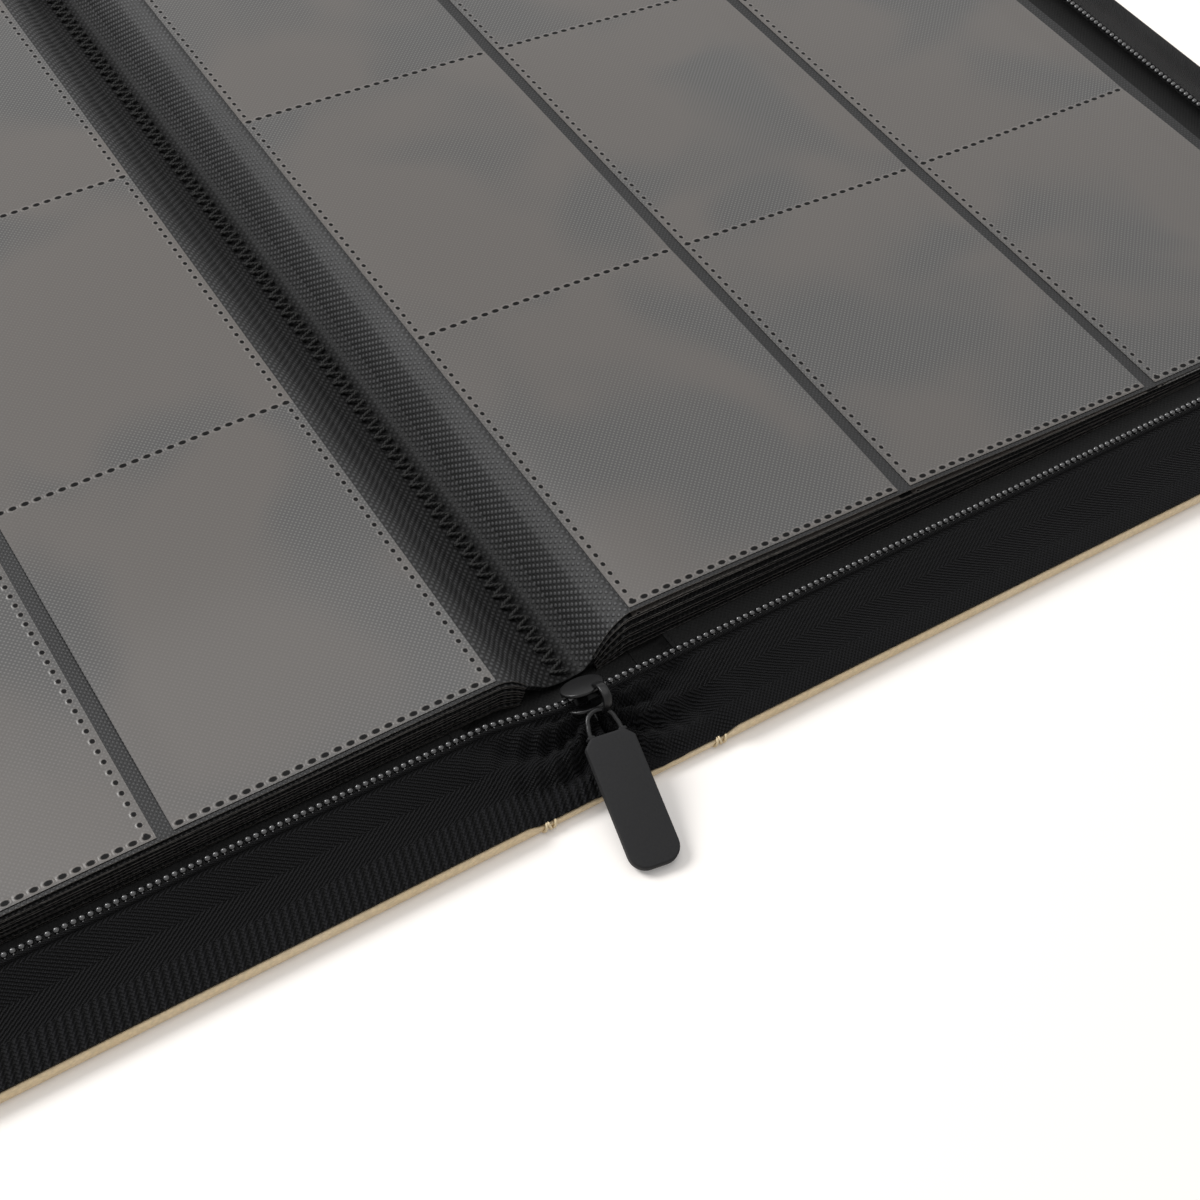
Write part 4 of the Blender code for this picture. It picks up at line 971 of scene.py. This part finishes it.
def buildHingeStitches():
    # cream loops over the edge at each hinge, where the case was tacked before turning
    loops = []
    arc = np.linspace(-0.42 * math.pi, 0.95 * math.pi, 14)
    z = 1.45 + 1.0 * np.sin(arc)
    for sign in sides.values():
        for end in (-1, 1):
            y = end * (zipper["halfCover"] - 0.45 + 0.75 * np.cos(arc))
            for offset, lean in ((-1.3, 0.35), (-0.2, -0.25), (0.9, 0.4)):
                x = sign * (case["hingeX"] + offset) + lean * np.sin(arc)
                loops.append(sweepTube(stack(x, y, z), 0.33, 8))
    piece = makeMesh("hingeStitches", *joinParts(loops), creamThread)
    finishPiece(piece, "spine", ())


for side in sides:
    buildLeathercloth(side)
    buildHingeLining(side)
buildHingeStitches()
print("case covered in leathercloth")


# Slider and pull

slide = {
    "width": 10.0, "length": 8.8, "plate": 0.9, "inner": 1.55, "edge": 0.4,
    "place": (-1.1, -152.2, 10.2), "tilt": -32.0,
    "strapWidth": 2.0, "strapThick": 0.85, "strapReach": 4.46, "strapArc": (128, 208),
    "strapTop": [(0.9, -153.2, 13.7), (0.9, -154.3, 15.0), (0.9, -155.6, 15.9)],
    "strapFoot": [(0.0, -157.6, 9.6), (0.0, -156.6, 9.0), (0.0, -155.4, 8.9)],
    "flankArc": (15, 66), "flankInset": 0.12, "flankWidth": 1.0, "flankLevel": 0.98,
    "post": (0.4, 2.7, 1.3, 1.2),
}
pull = {
    "wire": 1.15, "reach": 9.1, "topWidth": 7.3, "endWidth": 8.2, "socket": 2.2, "crown": 3.4,
    "bend": 3.0, "overlap": 0.3, "pivot": (-1.0, -154.467, 12.562), "turn": -9.0, "tableGap": 0.3,
    "tabLength": 30.0, "tabWidth": 11.3, "tabThick": 2.2, "tabEdge": 0.55,
    "shoulder": 1.9, "endRadius": 3.8, "collarWidth": 0.95, "collarDepth": 0.5,
}


def sliderMatrix():
    # the slider leans back on the gathered tape with its open front lifted
    return Matrix.Translation(slide["place"]) @ Matrix.Rotation(math.radians(slide["tilt"]), 4, "X")


def pullMatrix():
    pivot = Vector(pull["pivot"])
    pitch = math.asin((pivot.z - pull["tabThick"] / 2 - pull["tableGap"]) / (pull["reach"] + pull["tabLength"]))
    turned = Matrix.Rotation(math.radians(pull["turn"]), 4, "Z") @ Matrix.Rotation(pitch, 4, "X")
    return Matrix.Translation(pivot) @ turned


def roundedPlate(outline, low, high, edge, steps=4):
    # a flat plate with rolled edges: rings of the outline drawn in towards its middle
    outline = np.array(outline, float)
    middle = outline.mean(axis=0)
    out = outline - middle
    reach = np.linalg.norm(out, axis=1, keepdims=True)
    rings = []
    for base, start in ((low + edge, -90), (high - edge, 0)):
        for step in range(steps + 1):
            angle = math.radians(start + 90 * step / steps)
            ring = middle + out * (1 - edge * (1 - math.cos(angle)) / reach)
            rings.append(np.column_stack([ring, np.full(len(ring), base + edge * math.sin(angle))]))
    points = np.concatenate(rings)
    return points, ringFaces(np.arange(len(points)).reshape(-1, len(outline)))


def placeParts(parts, matrix):
    points, faces = joinParts(parts)
    turn = np.array(matrix.to_3x3())
    return points @ turn.T + np.array(matrix.translation), faces


def sliderStrap():
    # the strap that holds the pull: an arc round the pull's axis, over the open front and back underneath
    pivot = np.array(pull["pivot"])
    around = np.radians(np.linspace(*slide["strapArc"], 9))
    bow = stack(np.linspace(0.8, 0.1, 9), pivot[1] + slide["strapReach"] * np.cos(around),
                    pivot[2] + slide["strapReach"] * np.sin(around))
    core = easePath(np.array(slide["strapTop"] + bow[1:].tolist() + slide["strapFoot"], float))
    tangent = unit(np.gradient(core, axis=0))
    sideways = unit(np.array([1.0, 0, 0]) - tangent * tangent[:, :1])
    normal = np.cross(tangent, sideways)
    # its section is a rectangle with rounded corners
    corner = np.radians([20, 70, 110, 160, 200, 250, 290, 340])
    square = np.sign([np.cos(corner), np.sin(corner)]) * np.abs([np.cos(corner), np.sin(corner)]) ** 0.35
    rings = core[:, None] + slide["strapWidth"] / 2 * square[0][None, :, None] * sideways[:, None] \
        + slide["strapThick"] / 2 * square[1][None, :, None] * normal[:, None]
    return rings.reshape(-1, 3), ringFaces(np.arange(rings.shape[0] * 8).reshape(-1, 8))


def buildSlider():
    half, halfLength = slide["width"] / 2, slide["length"] / 2
    outline = oval(0, 0, half, halfLength, 9)
    inner, outer = slide["inner"], slide["inner"] + slide["plate"]
    inset, level = slide["flankInset"], slide["flankLevel"]
    parts = [roundedPlate(outline, low, high, slide["edge"]) for low, high in ((inner, outer), (-outer, -inner))]
    # low rims along both flanks that guide the coils
    for sign in (-1, 1):
        flank = np.radians(np.linspace(*slide["flankArc"], 13))
        rim = [(sign * (half - drawn) * math.cos(a), (halfLength - drawn) * math.sin(a))
               for drawn, angles in ((inset, flank), (slide["flankWidth"], flank[::-1])) for a in angles]
        rim = rim if sign > 0 else rim[::-1]
        for low, high in ((level, inner + 0.3), (-inner - 0.3, -level)):
            parts.append(roundedPlate(rim, low, high, 0.12))
    parts.append(roundedPlate(oval(*slide["post"], 24), -inner - 0.2, inner + 0.2, 0.1))
    piece = makeMesh("zipSlider", *joinParts([placeParts(parts, sliderMatrix()), sliderStrap()]), paintedZinc)
    faceOut(piece)
    finishPiece(piece, "slider", ["slider_body"])


def buildPull():
    wire, bend = pull["wire"], pull["bend"]
    nearHalf = pull["topWidth"] / 2 - wire / 2
    farHalf = pull["endWidth"] / 2 - wire / 2
    legEnd = -pull["reach"] - pull["socket"] + pull["overlap"]
    top = -pull["crown"]
    right = [(farHalf, legEnd, 0), (farHalf, 0.75 * legEnd, 0), (nearHalf + 0.2, top - bend - 0.4, 0)]
    arc = np.radians(np.linspace(0, 180, 17))
    crown = [(nearHalf * math.cos(a), top - bend + bend * math.sin(a), 0) for a in arc]
    path = easePath(np.array(right + crown + [(-x, y, z) for x, y, z in right[::-1]], float))
    loop = makeMesh("pullLoop", *placeParts([sweepTube(path, wire / 2, 12)], pullMatrix()), paintedZinc)
    finishPiece(loop, "pull", ["pull_loop"])

    half, top = pull["tabWidth"] / 2, -pull["reach"]
    end = top - pull["tabLength"]
    shoulder, radius = pull["shoulder"], pull["endRadius"]
    # one flank's corners: middle, radius, first angle and span of each arc
    corners = ((half - radius, end + radius, radius, -90, 90), (half - 1.0, top - shoulder - 0.4, 1.0, 0, 45),
               (half - shoulder - 0.4, top - 1.0, 1.0, 45, 45))
    outline = [(x + r * math.cos(a), y + r * math.sin(a)) for x, y, r, start, span in corners
               for a in (math.radians(start + span * step / 8) for step in range(9))]
    outline += [(-x, y) for x, y in outline[::-1]]
    thick, wide = pull["tabThick"] / 2, pull["collarWidth"]
    parts = [roundedPlate(outline, -thick, thick, pull["tabEdge"], 6)]
    # a shallow collar where the wire goes into the tab
    for sign in (-1, 1):
        parts.append(roundedPlate(oval(sign * farHalf, top, wide, pull["collarDepth"], 30), -wide, wide, 0.3))
    tab = makeMesh("pullTab", *placeParts(parts, pullMatrix()), mouldedRubber)
    finishPiece(tab, "pull", ["pull_tab"])


buildSlider()
buildPull()
print("slider and pull fitted")


# CAD pieces that keep their shape

kept = {"front_cover_board": greyBoard, "back_cover_board": greyBoard, "front_cover_lining": lining,
        "back_cover_lining": lining, "spine_lining": lining, "head_stop": paintedZinc}
for name, material in kept.items():
    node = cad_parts[name]
    for materialSlot in node.material_slots:
        materialSlot.material = material
print("kept nodes finished")
